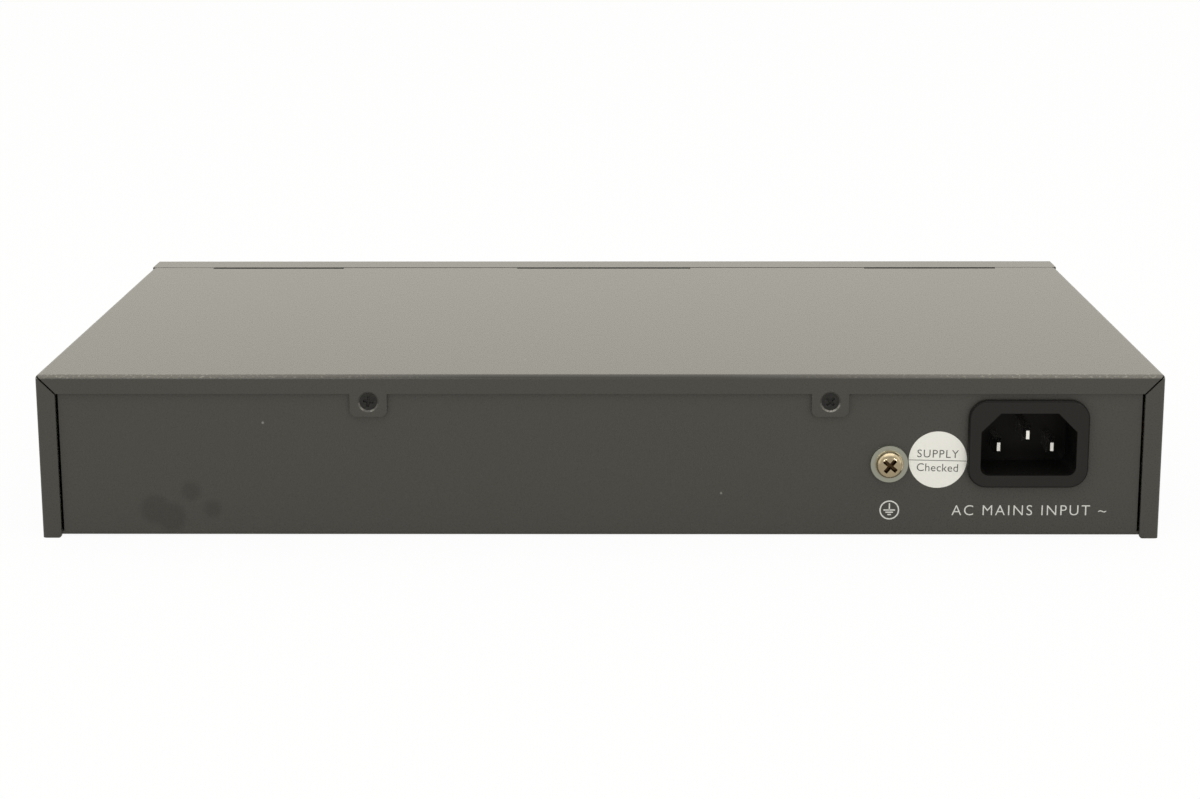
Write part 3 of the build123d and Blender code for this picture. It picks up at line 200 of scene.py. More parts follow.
floor_paint, tree, output = blank_material("floor")
floor_path = node(tree, "LightPath")
glossy_ray = floor_path.outputs["Is Glossy Ray"]
looked_at = worked_out(tree, "MAXIMUM", floor_path.outputs["Is Camera Ray"], glossy_ray)
hidden = worked_out(tree, "MULTIPLY", looked_at, shadow_hidden)
matt = node(tree, "BsdfDiffuse", {"Color": floor_white})
glow = node(tree, "Emission", {"Color": blended(tree, glossy_ray, WHITE, mirror_warmth),
                               "Strength": blended(tree, glossy_ray, 1.0, floor_mirrored, "FLOAT")})
shown = node(tree, "MixShader", {0: hidden, 1: matt.outputs[0], 2: glow.outputs[0]})
tree.links.new(shown.outputs[0], output.inputs["Surface"])
floor_mesh.materials.append(floor_paint)
print("floor:", floor_size, "m wide")

# %% [markdown]
# ### Lamps
#
# One wide lamp above lights the case evenly. Two small ones, left and right of the camera, put the sparks
# on the metal.


# %% Lamps
def lamp(name, place, size, watts):
    """A square lamp at this place, turned towards the case."""
    data = bpy.data.lights.new(name, "AREA")
    data.shape = "SQUARE"
    data.size = size
    data.energy = watts
    data.color = sky_warmth[:3]
    made = bpy.data.objects.new(name, data)
    made.location = place
    made.rotation_euler = (-Vector(place)).to_track_quat("-Z", "Y").to_euler()
    bpy.context.scene.collection.objects.link(made)


lamp("overhead", (0, 0.2, 1.6), 1.8, 6.0)
lamp("spark_left", (0.27, 1.21, 0.29), 0.18, 0.95)
lamp("spark_right", (-0.64, 1.08, 0.34), 0.18, 0.95)
print("lamps:", len(bpy.data.lights))

# %% [markdown]
# ## Shared effects
#
# Most of these surfaces are one colour from a step away and uneven close up. A few node groups hold that
# unevenness. Each reads the object's own coordinates, in metres, so a size given to a group is a real
# size. A group puts out a shade from 0 to 1, and the material decides what to do with it.


# %% Group helper
def effect(name, inputs, outputs):
    """An empty node group with named inputs, each with its first value, and named outputs."""
    group = bpy.data.node_groups.new(name, "ShaderNodeTree")
    for label, kind, value in inputs:
        group.interface.new_socket(label, in_out="INPUT", socket_type=kind).default_value = value
    for label in outputs:
        group.interface.new_socket(label, in_out="OUTPUT", socket_type="NodeSocketFloat")
    return group, group.nodes.new("NodeGroupInput"), group.nodes.new("NodeGroupOutput")


# %% [markdown]
# ### Grain
#
# Grain is noise: a coat of powder paint, a moulded skin and a casting all have it. Stretching the
# coordinates along one axis draws it out into the lines that a brush or a rolling mill leaves. The noise
# node wants a scale, which is one over the size of a grain.

# %% Grain
grain, given, result = effect("grain", [("Size", "NodeSocketFloat", 0.4 * MM),
                                        ("Stretch", "NodeSocketVector", (1, 1, 1))], ["Shade"])
place = node(grain, "TexCoord").outputs["Object"]
stretched = node(grain, "VectorMath", {0: place, 1: given.outputs["Stretch"]}, operation="MULTIPLY")
often = worked_out(grain, "DIVIDE", 1.0, given.outputs["Size"])
noise = node(grain, "TexNoise", {"Vector": stretched.outputs[0], "Scale": often})
grain.links.new(noise.outputs[0], result.inputs["Shade"])


def grain_shade(tree, size, stretch=(1, 1, 1)):
    """The grain in this material, at its own size and stretch."""
    return node(tree, "Group", {"Size": size, "Stretch": stretch}, node_tree=grain).outputs["Shade"]


print("grain:", len(grain.nodes), "nodes")

# %% [markdown]
# ### Spots
#
# A spot is a soft round mask about one point: a smudge, a speck, or a bit of the bare metal round a screw.
# It is worked out from the distance to its centre. Where several spots meet, the strongest one counts.

# %% Spot
spot, given, result = effect("spot", [("Centre", "NodeSocketVector", (0, 0, 0)),
                                      ("Radius", "NodeSocketFloat", 1 * MM),
                                      ("Softness", "NodeSocketFloat", 0.5 * MM)], ["Mask"])
place = node(spot, "TexCoord").outputs["Object"]
away = node(spot, "VectorMath", {0: place, 1: given.outputs["Centre"]}, operation="DISTANCE")
outer = worked_out(spot, "ADD", given.outputs["Radius"], given.outputs["Softness"])
faded = mapped(spot, away.outputs["Value"], (outer, given.outputs["Radius"]),
               interpolation_type="SMOOTHSTEP")
spot.links.new(faded, result.inputs["Mask"])


def spots(tree, places, softness):
    """One mask for several spots, each given as a place and a radius, all in millimetres."""
    mask = 0.0
    for x, y, z, radius in places:
        one = node(tree, "Group", {"Centre": (x * MM, y * MM, z * MM), "Radius": radius * MM,
                                   "Softness": softness * MM}, node_tree=spot)
        mask = worked_out(tree, "MAXIMUM", mask, one.outputs["Mask"])
    return mask


print("spot:", len(spot.nodes), "nodes")

# %% [markdown]
# ## Finishes
#
# One function makes every ordinary finish. It takes the colour at the dark and at the light end of the
# grain, so that a surface is never a single flat colour. The same grain raises the surface by a few
# thousandths of a millimetre, and by more on rough pieces. Values that are the same all over sit on the
# shader's own sockets.


# %% Finish helper
def shaded(colour, share):
    """The colour, brighter or darker by this share."""
    return (*[min(1, channel * (1 + share)) for channel in colour], 1)


def grained(name, colour, swing, roughness, rough_swing, size, depth, stretch=(1, 1, 1), **sockets):
    """A finish whose colour, roughness and surface follow the grain."""
    material, tree, output = blank_material(name)
    shade = grain_shade(tree, size, stretch)
    tint = blended(tree, shade, shaded(colour, -swing), shaded(colour, swing))
    rough = mapped(tree, shade, (0.0, 1.0), (roughness - rough_swing, roughness + rough_swing))
    bump = node(tree, "Bump", {"Height": shade, "Strength": 1.0, "Distance": depth})
    shader = node(tree, "BsdfPrincipled", {"Base Color": tint, "Roughness": rough,
                                           "Normal": bump.outputs["Normal"], **sockets})
    tree.links.new(shader.outputs[0], output.inputs["Surface"])
    return material, tree, tint, rough, shader


# %% [markdown]
# ### Paint of the case
#
# The case has a dark grey powder coat with a fine, slightly rough skin. Seen square on it is nearly
# black. Seen at a low angle, as the top is here, it mirrors the white surroundings and looks pale.

# %% Case paint
paint_colour = (0.0595, 0.0578, 0.0522)
paint_grain = 0.45 * MM
paint_depth = 0.009 * MM
paint, tree, paint_tint, _, shader = grained("case_paint", paint_colour, 0.06, 0.28, 0.04, paint_grain,
                                             paint_depth, IOR=1.4)
print("paint grain:", paint_grain / MM, "mm")

# %% [markdown]
# ### Bare metal, smudges and dust
#
# The paint has been rubbed off where the two countersunk screws seat, so bare metal shows on the lower
# side of each countersink. A few spots say where. They count only on the cone, whose surface slopes, and
# not on the flat tab round it. Soft dark spots are the smudges low on the back panel, small dark ones are
# specks of dirt on the top, and small light ones are flecks of dust.

# %% Where the spots lie
screws_low, screws_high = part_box("cover_screws")
screw_head = screws_high.z - screws_low.z
screw_x = (screws_high.x - screws_low.x - screw_head) / 2 / MM
screw_z = (screws_high.z + screws_low.z) / 2 / MM
back_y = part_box("cover")[1].y / MM
panel_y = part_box("test_label")[0].y / MM
top_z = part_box("cover")[1].z / MM

# Which screw, how far beside its middle, how far below it, and the spot's radius
bare_spots = [(1, 1.7, 1.9, 0.35), (1, -1.1, 2.3, 0.40), (-1, 1.9, 1.6, 0.25), (-1, 1.0, 2.3, 0.45),
              (-1, -0.2, 2.5, 0.30), (-1, -1.2, 2.2, 0.45), (-1, -2.1, 1.3, 0.40)]
bare_places = [(side * screw_x + beside, back_y, screw_z - below, radius)
               for side, beside, below, radius in bare_spots]
smudge_places = [(117.0, panel_y, 7.5, 2.6), (113.0, panel_y, 5.5, 2.6), (102.0, panel_y, 7.6, 1.0),
                 (107.5, panel_y, 12.5, 1.2)]
speck_places = [(13.0, 22.0, top_z, 0.35), (60.0, -20.0, top_z, 0.25), (-95.0, 55.0, top_z, 0.25)]
dust_places = [(88.0, panel_y, 31.0, 0.22), (-32.0, panel_y, 12.0, 0.18), (20.0, 70.0, top_z, 0.20)]
print("cover screws:", round(screw_x, 2), "mm from the middle,", round(screw_z, 2), "mm up")

# %% Spots on the paint
bare_softness = 0.35
smudge_softness = 2.5
fleck_softness = 0.2
smudge_strength = 0.30
speck_strength = 0.8
dust_strength = 0.5
tab_faces_back = 0.9

surface = node(tree, "NewGeometry")
slope = node(tree, "SeparateXYZ", {0: surface.outputs["True Normal"]})
cone = worked_out(tree, "LESS_THAN", slope.outputs["Y"], tab_faces_back)
bare = worked_out(tree, "MULTIPLY", cone, spots(tree, bare_places, bare_softness))
smudge = worked_out(tree, "MULTIPLY", spots(tree, smudge_places, smudge_softness), smudge_strength)
speck = worked_out(tree, "MULTIPLY", spots(tree, speck_places, fleck_softness), speck_strength)
dirt = worked_out(tree, "MAXIMUM", smudge, speck)
dust = worked_out(tree, "MULTIPLY", spots(tree, dust_places, fleck_softness), dust_strength)
print("spots:", len(bare_places) + len(smudge_places) + len(speck_places) + len(dust_places))

# %% [markdown]
# ### The rubbed and highlit fold
#
# Where the top folds down at the back, its paint is partly rubbed thin and partly given a painted highlight,
# the reflection of the room along the bend: a pale line high on the fold, a thin dark gap, and a duller band
# down to the flange. The pale paint grows from nothing in the middle of the edge to full strength near both
# corners, as that reflection does, and a grain breaks it up. A fold turns from facing up to facing
# backwards, so the share by which it faces backwards tells how far round the fold a point lies.

# %% Rubbed fold with painted highlight
# Painted highlight: the pale line and the duller band are partly rubbed paint and partly the room's
# reflection painted on.
rubbed_highlit_line = (0.04, 0.36)
rubbed_highlit_band = (0.45, 0.985)
line_softness = 0.08
band_softness = 0.06
band_strength = 0.62
flange_faces_up = 0.12
wear_and_sheen_grows = (30 * MM, 110 * MM)
fold_grain_size = 0.45 * MM
fold_grain_stretch = (0.6, 1, 1)
fold_grain_shades = (0.56, 0.68)
fold_grain_levels = (0.45, 1.0)

bend = node(tree, "SeparateXYZ", {0: surface.outputs["Normal"]})


def rubbed_between(faces_back, softness, strength):
    """How pale the fold is, with thin paint and painted highlight, where it faces backwards by a share in
    this range, with soft ends.
    """
    low, high = faces_back
    starts = mapped(tree, bend.outputs["Y"], (low, low + softness), (0.0, strength))
    fades = mapped(tree, bend.outputs["Y"], (high, high - softness))
    return worked_out(tree, "MULTIPLY", starts, fades)


lines = worked_out(tree, "MAXIMUM", rubbed_between(rubbed_highlit_line, line_softness, 1.0),
                   rubbed_between(rubbed_highlit_band, band_softness, band_strength))
upward = worked_out(tree, "GREATER_THAN", bend.outputs["Z"], flange_faces_up)
fold = worked_out(tree, "MULTIPLY", lines, upward)
along = node(tree, "SeparateXYZ", {0: node(tree, "TexCoord").outputs["Object"]})
from_middle = worked_out(tree, "ABSOLUTE", along.outputs["X"])
wear_and_sheen = worked_out(tree, "MULTIPLY", fold, mapped(tree, from_middle, wear_and_sheen_grows))
fold_grain = mapped(tree, grain_shade(tree, fold_grain_size, fold_grain_stretch), fold_grain_shades, fold_grain_levels)
# Painted highlight on the fold, partly rubbed paint, broken up by the grain.
rubbed_and_highlit = worked_out(tree, "MULTIPLY", wear_and_sheen, fold_grain)
print("fold rubbed beyond", wear_and_sheen_grows[0] / MM, "mm from the middle")

# %% [markdown]
# ### Worn paint and painted highlight
#
# The rubbed and highlit fold, the dirt and the dust go over the paint one after the other, each where its
# mask says; the fold's pale colour is partly a painted highlight. Bare metal comes last, because nothing
# lies on it, and there the surface is metallic too.

# %% Worn paint and painted highlight
# The fold's pale colour: rubbed paint and painted highlight.
rubbed_and_highlit_colour = (0.40, 0.385, 0.345, 1)
dirt_colour = (0.02, 0.019, 0.017, 1)
dust_colour = (0.35, 0.34, 0.31, 1)
bare_colour = (0.24, 0.24, 0.23, 1)

worn_and_highlit = paint_tint
for mask, colour in ((rubbed_and_highlit, rubbed_and_highlit_colour), (dirt, dirt_colour), (dust, dust_colour), (bare, bare_colour)):
    worn_and_highlit = blended(tree, mask, worn_and_highlit, colour)
tree.links.new(worn_and_highlit, shader.inputs["Base Color"])
tree.links.new(bare, shader.inputs["Metallic"])
print("case paint:", len(tree.nodes), "nodes")

# %% [markdown]
# ### Plated steel
#
# The washer and the screw in it are plated differently: the washer is a cool grey, the screw is warm.
# The screw's head begins where the washer ends, so the distance behind the panel tells them apart.
# The cross recess in the head is darkened by painted shade, dark brown.


# %% Warm screw
ground_low, ground_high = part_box("ground_screw")
ground_x = (ground_low.x + ground_high.x) / 2
ground_z = (ground_low.z + ground_high.z) / 2
warm_colour = (0.72, 0.61, 0.43, 1)
warm_roughness = 0.20
past_washer = 0.02 * MM
# Painted shade for the cross recess in the head.
recess_shade_colour = (0.10, 0.06, 0.03, 1)
recess_reach = 2.3 * MM
recess_edge = 0.35 * MM


def warm_ends(tree, tint, rough, shader):
    """Tint whatever stands further back than the washer's face, and paint shade into the cross in the head.
    """
    washer_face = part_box("ground_washer")[1].y
    spot_at = node(tree, "TexCoord").outputs["Object"]
    place = node(tree, "SeparateXYZ", {0: spot_at})
    behind = worked_out(tree, "GREATER_THAN", place.outputs["Y"], washer_face + past_washer)
    warm = blended(tree, behind, tint, warm_colour)
    flat = node(tree, "VectorMath", {0: spot_at, 1: (1, 0, 1)}, operation="MULTIPLY")
    from_axis = node(tree, "VectorMath", {0: flat.outputs[0], 1: (ground_x, 0, ground_z)},
                     operation="DISTANCE")
    near = worked_out(tree, "LESS_THAN", from_axis.outputs["Value"], recess_reach)
    head_top = ground_high.y
    deep = mapped(tree, place.outputs["Y"], (head_top - recess_edge / 2, head_top - 2 * recess_edge))
    # Painted shade in the cross of the head.
    recess_shade = worked_out(tree, "MULTIPLY", near, deep)
    tree.links.new(blended(tree, recess_shade, warm, recess_shade_colour), shader.inputs["Base Color"])
    tree.links.new(blended(tree, behind, rough, warm_roughness, "FLOAT"), shader.inputs["Roughness"])


# %% [markdown]
# ### Inlet
#
# The inlet's flange has a satin face. Its rim and the walls of its recess get painted shade, nearly black,
# where shadow falls round the proud flange and deep in the recess. The slope of the surface says which is
# which, and so does the depth.


# %% Painted shade on the inlet's sides
# Painted shade for the rim and the recess of the inlet.
painted_shade_plastic = (0.0085, 0.0082, 0.0080, 1)
square_on = (0.995, 0.93)
recess_depths = (1 * MM, 4 * MM)


def dark_sides(tree, tint, shader):
    """Paint dark shade on whatever lies in the recess or doesn't face forwards or backwards."""
    slope = node(tree, "SeparateXYZ", {0: node(tree, "NewGeometry").outputs["True Normal"]})
    side = mapped(tree, worked_out(tree, "ABSOLUTE", slope.outputs["Y"]), square_on)
    inlet_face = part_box("ac_inlet_housing")[1].y
    place = node(tree, "SeparateXYZ", {0: node(tree, "TexCoord").outputs["Object"]})
    deep = mapped(tree, place.outputs["Y"], (inlet_face - recess_depths[0], inlet_face - recess_depths[1]))
    # Painted shade: the rim and the recess are darkened where shadow falls.
    painted_shade = worked_out(tree, "MAXIMUM", side, deep)
    tree.links.new(blended(tree, painted_shade, tint, painted_shade_plastic), shader.inputs["Base Color"])


# %% [markdown]
# ### Pins
#
# The pins are polished along their sides, where they mirror the black recess, and matt and pale at their
# cut ends.


# %% Matt ends
cut_ends = (0.7, 0.95)
metal_levels = (1.0, 0.15)


def matt_ends(tree, shader):
    """Less metallic where the surface faces backwards."""
    slope = node(tree, "SeparateXYZ", {0: node(tree, "NewGeometry").outputs["True Normal"]})
    tree.links.new(mapped(tree, slope.outputs["Y"], cut_ends, metal_levels), shader.inputs["Metallic"])


# %% [markdown]
# ### Everything else
#
# The other finishes differ only in their values, so they stand in one list. Metals have a metallic value
# of one, and their lines run the way they were rolled or turned. Plastics have a fine moulded skin. The
# inlet's plastic mirrors little, which is a plain value on its shader.

# %% List of finishes
ROUND = (1, 1, 1)
ALONG_X = (0.06, 1, 1)
ALONG_Z = (1, 1, 0.06)
WOUND = (0.1, 0.1, 1)
METAL = {"Metallic": 1.0}
DULL = {"IOR": 1.42, "Specular IOR Level": 0.18}
CLOUDY = {"Transmission Weight": 0.35}

# Colour and its swing, roughness and its swing, size and depth of the grain in millimetres, how the grain
# is drawn out, and what else the shader is given
finishes = {
    "black_screw": ((0.010, 0.0098, 0.0095), 0.7, 0.34, 0.14, 0.60, 0.09, ROUND, {}),
    "plated_steel": ((0.58, 0.60, 0.54), 0.06, 0.34, 0.08, 0.30, 0.010, ROUND, METAL),
    "plated_brass": ((0.92, 0.91, 0.88), 0.04, 0.26, 0.06, 0.25, 0.005, ALONG_Z, METAL),
    "inlet_plastic": ((0.0217, 0.0205, 0.0196), 0.08, 0.28, 0.05, 0.20, 0.004, ROUND, DULL),
    "label_film": ((0.765, 0.765, 0.725), 0.02, 0.55, 0.05, 1.20, 0.012, ROUND, {}),
    "circuit_board": ((0.012, 0.085, 0.030), 0.25, 0.30, 0.08, 1.50, 0.010, ROUND, {}),
    "port_shield": ((0.66, 0.65, 0.62), 0.05, 0.32, 0.07, 0.35, 0.006, ALONG_X, METAL),
    "port_plastic": ((0.016, 0.016, 0.017), 0.10, 0.40, 0.06, 0.22, 0.010, ROUND, {}),
    "port_contact": ((0.90, 0.66, 0.28), 0.04, 0.22, 0.05, 0.20, 0.003, ALONG_Z, METAL),
    "light_lens": ((0.70, 0.74, 0.66), 0.04, 0.28, 0.05, 0.60, 0.006, ROUND, CLOUDY),
    "chip_mould": ((0.018, 0.018, 0.019), 0.15, 0.50, 0.08, 0.15, 0.012, ROUND, {}),
    "pad_rubber": ((0.30, 0.34, 0.38), 0.05, 0.75, 0.05, 0.40, 0.020, ROUND, {}),
    "sink_metal": ((0.72, 0.72, 0.73), 0.06, 0.38, 0.08, 0.30, 0.010, ALONG_Z, METAL),
    "crystal_can": ((0.74, 0.73, 0.70), 0.04, 0.26, 0.06, 0.25, 0.004, ALONG_X, METAL),
    "capacitor_sleeve": ((0.020, 0.024, 0.060), 0.10, 0.30, 0.06, 0.80, 0.008, ROUND, {}),
    "film_box": ((0.62, 0.46, 0.10), 0.06, 0.42, 0.06, 0.40, 0.012, ROUND, {}),
    "winding_tape": ((0.78, 0.60, 0.10), 0.08, 0.30, 0.06, 0.50, 0.020, WOUND, {}),
    "ferrite": ((0.050, 0.050, 0.053), 0.20, 0.55, 0.10, 0.25, 0.020, ROUND, {}),
    "bobbin_plastic": ((0.040, 0.036, 0.032), 0.10, 0.45, 0.06, 0.30, 0.012, ROUND, {}),
    "disc_coat": ((0.05, 0.16, 0.42), 0.08, 0.35, 0.06, 0.70, 0.020, ROUND, {}),
    "fuse_body": ((0.42, 0.20, 0.08), 0.08, 0.40, 0.06, 0.40, 0.012, ROUND, {}),
    "plug_plastic": ((0.78, 0.75, 0.66), 0.04, 0.42, 0.06, 0.35, 0.010, ROUND, {}),
    "terminal_sleeve": ((0.10, 0.22, 0.55), 0.06, 0.35, 0.06, 0.60, 0.010, ROUND, {}),
    "insulator_film": ((0.70, 0.68, 0.62), 0.05, 0.35, 0.06, 2.00, 0.020, ROUND, {}),
    "brown_lead": ((0.14, 0.050, 0.020), 0.08, 0.38, 0.06, 0.50, 0.010, ROUND, {}),
    "blue_lead": ((0.030, 0.14, 0.48), 0.08, 0.38, 0.06, 0.50, 0.010, ROUND, {}),
    "earth_lead": ((0.10, 0.42, 0.06), 0.08, 0.38, 0.06, 0.50, 0.010, ROUND, {}),
    "red_lead": ((0.50, 0.020, 0.018), 0.08, 0.38, 0.06, 0.50, 0.010, ROUND, {}),
}

# %% Finishes on the solids
materials = {"case_paint": paint}
for slot, (colour, swing, roughness, rough_swing, size, depth, stretch, sockets) in finishes.items():
    materials[slot], tree, tint, rough, shader = grained(
        slot, colour, swing, roughness, rough_swing, size * MM, depth * MM, stretch, **sockets)
    if slot == "plated_steel":
        warm_ends(tree, tint, rough, shader)
    # The inlet gets painted shade on its rim and in its recess.
    if slot == "inlet_plastic":
        dark_sides(tree, tint, shader)
    if slot == "plated_brass":
        matt_ends(tree, shader)

for part in frame["record"]["subparts"]:
    mesh = frame["nodes"][part["node"]].data
    mesh.materials.clear()
    mesh.materials.append(materials[part["material_slot"]])
print("finishes:", len(materials))

# %% [markdown]
# ## Print on the metal
#
# The marks on such a case are screen printed: flat ink, a few hundredths of a millimetre thick. They are
# built as real thin slabs, because a slab has clean edges at any distance and can be lifted off again.
# Letters start as Blender text, which is turned into a mesh and then carried to its place with numpy.
# The marks are plain ones: the ground symbol, the kind of the inlet, and numbers beside the ports.

# %% Ink
ink_thickness = 0.03 * MM
ink_sunk = 0.01 * MM
ink_grain = 0.3 * MM
ink_depth = 0.004 * MM

white_ink = grained("white_ink", (0.62, 0.62, 0.60), 0.05, 0.5, 0.05, ink_grain, ink_depth)[0]
black_ink = grained("black_ink", (0.09, 0.09, 0.087), 0.10, 0.5, 0.05, ink_grain, ink_depth)[0]
print("inks:", white_ink.name, black_ink.name)

# %% [markdown]
# ### Letters
#
# Blender's own font is plain enough for such print. The words are turned into a mesh and scaled to their
# height. A line that has to fill a given width is spread by the gaps between its letters, not by stretching
# the letters: its width is a + b * spacing, and two trials give a and b.

# %% Letters
usual_spacing = 1.0
wide_spacing = 1.5
curve_steps = 4


def letter_mesh(words, spacing, thinner):
    """Points and faces of these words in Blender's own font, at its own size."""
    text = bpy.data.curves.new("words", "FONT")
    text.body = words
    text.extrude = 0.5
    text.resolution_u = curve_steps
    text.space_character = spacing
    text.offset = -thinner
    shape = bpy.data.objects.new("words", text)
    bpy.context.scene.collection.objects.link(shape)
    bpy.context.view_layer.update()
    mesh = bpy.data.meshes.new_from_object(shape)
    points = np.empty(len(mesh.vertices) * 3)
    mesh.vertices.foreach_get("co", points)
    points = points.reshape(-1, 3)
    faces = [tuple(face.vertices) for face in mesh.polygons]
    bpy.data.objects.remove(shape)
    bpy.data.meshes.remove(mesh)
    bpy.data.curves.remove(text)
    return points, faces


def letters(words, height, width=None, thinner=0.0):
    """Flat slabs of these words, centred on their middle: points and faces, at this height and width."""
    points, faces = letter_mesh(words, usual_spacing, thinner)
    low, high = points.min(0), points.max(0)
    scale = height / (high[1] - low[1])
    if width:
        wide, _ = letter_mesh(words, wide_spacing, thinner)
        usual_width = high[0] - low[0]
        rate = (wide[:, 0].max() - wide[:, 0].min() - usual_width) / (wide_spacing - usual_spacing)
        spacing = usual_spacing + (width / scale - usual_width) / rate
        points, faces = letter_mesh(words, spacing, thinner)
        low, high = points.min(0), points.max(0)
    points -= (low + high) / 2
    points[:, :2] *= scale
    points[:, 2] = np.where(points[:, 2] > 0, ink_thickness, -ink_sunk)
    return points, faces


# %% [markdown]
# ### Bars and rings
#
# Straight strokes are slabs with eight corners. A ring is a small rectangle carried round a circle: each of
# its corners keeps its radius and its height, and x and y are the radius times the cosine and the sine of
# the turn.


# %% Bars and rings
def bar(left, right_edge, low, high):
    """A slab of ink between these edges: its eight corners and six faces."""
    corners = np.array([(x, y, z) for z in (-ink_sunk, ink_thickness) for y in (low, high)
                        for x in (left, right_edge)])
    return corners, [(0, 2, 3, 1), (4, 5, 7, 6), (0, 1, 5, 4), (2, 6, 7, 3), (0, 4, 6, 2), (1, 3, 7, 5)]


def ring(radius, width, steps=64):
    """A ring of ink: the four corners of its section at each of these steps round the circle."""
    turns = np.linspace(0, 2 * np.pi, steps, endpoint=False)[:, None]
    across = np.array((-width / 2, width / 2, width / 2, -width / 2))[None, :] + radius
    lift = np.array((-ink_sunk, -ink_sunk, ink_thickness, ink_thickness))[None, :]
    points = np.stack((across * np.cos(turns), across * np.sin(turns), lift + 0 * turns), -1)
    step, corner = np.meshgrid(np.arange(steps), np.arange(4), indexing="ij")
    after = (step + 1) % steps
    beside = (corner + 1) % 4
    faces = np.stack((step * 4 + corner, step * 4 + beside, after * 4 + beside, after * 4 + corner), -1)
    return points.reshape(-1, 3), faces.reshape(-1, 4)[:, ::-1].tolist()


# %% [markdown]
# ### Putting print in its place
#
# Shapes are drawn as on paper: x to the reader's right, y up, and z out of the sheet. A turn then stands
# the sheet up on the back or the front of the case. It is worked into the points, so the finished piece's
# object stays unturned at the origin, as the solids do.

# %% Print pieces
BEHIND = np.array(((-1, 0, 0), (0, 0, 1), (0, 1, 0)), float)
FRONT = np.array(((1, 0, 0), (0, 0, 1), (0, -1, 0)), float)


def together(shapes):
    """Several shapes, each with its own shift, as one set of points and faces."""
    points, faces, count = [], [], 0
    for (own_points, own_faces), shift in shapes:
        points.append(own_points + np.array((*shift, 0.0)))
        faces += [tuple(corner + count for corner in face) for face in own_faces]
        count += len(own_points)
    return np.concatenate(points), faces


def printed(name, shapes, middle, facing, ink):
    """One piece of print about this point, on the face that looks this way."""
    points, faces = together(shapes)
    mesh = bpy.data.meshes.new(name)
    mesh.from_pydata((points @ facing + np.array(middle)).tolist(), [], faces)
    mesh.materials.append(ink)
    piece = bpy.data.objects.new(name, mesh)
    bpy.context.scene.collection.objects.link(piece)
    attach(piece, "root")
    print(name, len(mesh.polygons), "faces")


# %% [markdown]
# ### Ground symbol
#
# The standard mark for protective earth is a ring round an upright stroke and three bars, each shorter
# than the one above it. Everything is given as a share of the ring's radius.

# %% Ground symbol
symbol_radius = 2.42 * MM
symbol_line = 0.34 * MM
symbol_under_screw = 12.65 * MM
symbol_aside = 0.35 * MM
stroke_top = 0.76
level_bars = ((0.63, 0.0), (0.41, -0.25), (0.19, -0.51))

symbol = [(ring(symbol_radius, symbol_line), (0, 0)),
          (bar(-symbol_line / 2, symbol_line / 2, 0, stroke_top * symbol_radius), (0, 0))]
for half_share, height_share in level_bars:
    half_bar = half_share * symbol_radius
    level_at = height_share * symbol_radius
    symbol.append((bar(-half_bar, half_bar, level_at - symbol_line / 2, level_at + symbol_line / 2), (0, 0)))
symbol_place = (ground_x - symbol_aside, panel_y * MM, ground_z - symbol_under_screw)
printed("ground_symbol", symbol, symbol_place, BEHIND, white_ink)

# %% [markdown]
# ### Words at the inlet
#
# Under the inlet such a case names its supply in one line. This one only says what the inlet is.

# %% Inlet words
words_height = 2.75 * MM
words_width = 40.6 * MM
words_x = -112.9 * MM
words_z = 7.4 * MM
words_thinner = 0.008

words = letters("AC MAINS INPUT ~", words_height, words_width, words_thinner)
printed("inlet_words", [(words, (0, 0))], (words_x, panel_y * MM, words_z), BEHIND, white_ink)

# %% [markdown]
# ### Marks on the label
#
# The round label is a film with a fine line across it and a word above and below. It was stuck on a
# little askew, so its print is turned in the plane of the label before it is stood up.

# %% Label marks
label_low, label_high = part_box("test_label")
label_middle = (label_low + label_high) / 2
label_half = (label_high.x - label_low.x) / 2
line_width = 0.16 * MM
line_reach = 0.99 * label_half
line_down = 0.2 * MM
capital_height = 2.1 * MM
word_width = 10.8 * MM
upper_word = 1.6 * MM
lower_word = -2.1 * MM
label_thinner = 0.004
label_turn = radians(1.3)


def in_plane(angle):
    """Turns points in the plane they are drawn in, anticlockwise for the reader."""
    return np.array(((cos(angle), sin(angle), 0), (-sin(angle), cos(angle), 0), (0, 0, 1)))


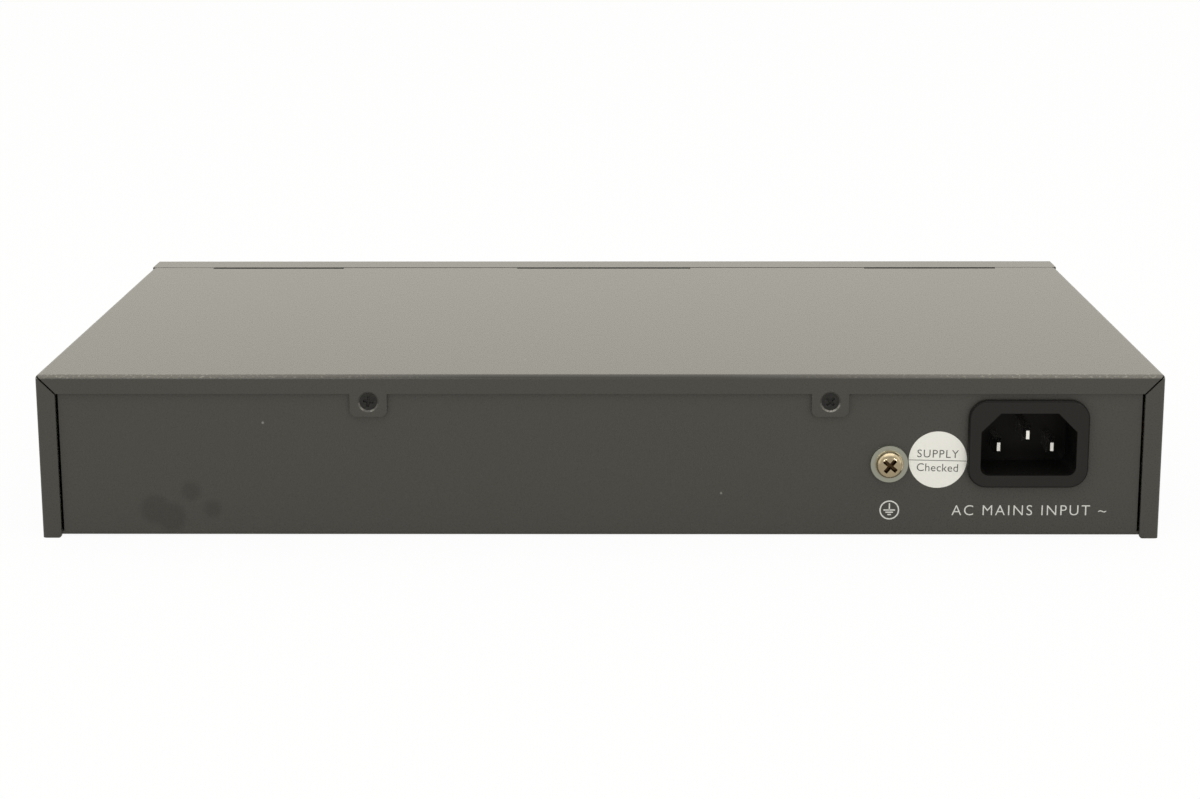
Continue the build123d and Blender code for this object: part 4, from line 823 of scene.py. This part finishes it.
label_marks = [(bar(-line_reach, line_reach, -line_width / 2, line_width / 2), (0, -line_down)),
               (letters("SUPPLY", capital_height, word_width, label_thinner), (0, upper_word)),
               (letters("Checked", capital_height, word_width, label_thinner), (0, lower_word))]
label_place = (label_middle.x, label_high.y, label_middle.z)
printed("label_marks", label_marks, label_place, in_plane(-label_turn) @ BEHIND, black_ink)

# %% [markdown]
# ### Numbers in front
#
# The ports stand in two rows, so the odd numbers go above and the even ones below. The status lights
# repeat them, and the light on its own gets the usual power mark.

# %% Port numbers
number_height = 1.9 * MM
above_ports = 2.4 * MM
below_ports = 2.6 * MM
port_rows = 2
ports_across = 4
front_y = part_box("chassis_tray")[0].y

numbers = []
for block, name in enumerate(("jack_shield_inner", "jack_shield_outer")):
    low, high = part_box(name)
    port_pitch = (high.x - low.x) / ports_across
    for column in range(ports_across):
        upper = (block * ports_across + column) * port_rows + 1
        x = low.x + (column + 0.5) * port_pitch
        numbers.append((letters(str(upper), number_height), (x, high.z + above_ports)))
        numbers.append((letters(str(upper + 1), number_height), (x, low.z - below_ports)))
printed("port_numbers", numbers, (0, front_y, 0), FRONT, white_ink)

# %% Light numbers
light_number_height = 1.5 * MM
beside_lights = 1.7 * MM
light_width = 3.0 * MM
light_pitch = 6.0 * MM
light_columns = 8
power_radius = 1.1 * MM
power_line = 0.24 * MM
power_stroke = (0.13 * MM, 0.55 * MM)
power_above = 3.9 * MM

lights_low, lights_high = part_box("status_lights")
last_x = lights_high.x - light_width / 2
light_numbers = []
for column in range(light_columns):
    x = last_x - (light_columns - 1 - column) * light_pitch
    number = letters(str(2 * column + 1), light_number_height)
    light_numbers.append((number, (x, lights_high.z + beside_lights)))
    number = letters(str(2 * column + 2), light_number_height)
    light_numbers.append((number, (x, lights_low.z - beside_lights)))
power_place = (lights_low.x + light_width / 2, (lights_low.z + lights_high.z) / 2 + power_above)
half_line, half_stroke = power_stroke
light_numbers.append((ring(power_radius, power_line), power_place))
light_numbers.append((bar(-half_line, half_line, -half_stroke, half_stroke), power_place))
printed("light_numbers", light_numbers, (0, front_y, 0), FRONT, white_ink)

# %% [markdown]
# ## Finish
#
# The colours are shown as they are, under the standard view transform.

# %% View transform
bpy.context.scene.view_settings.view_transform = "Standard"
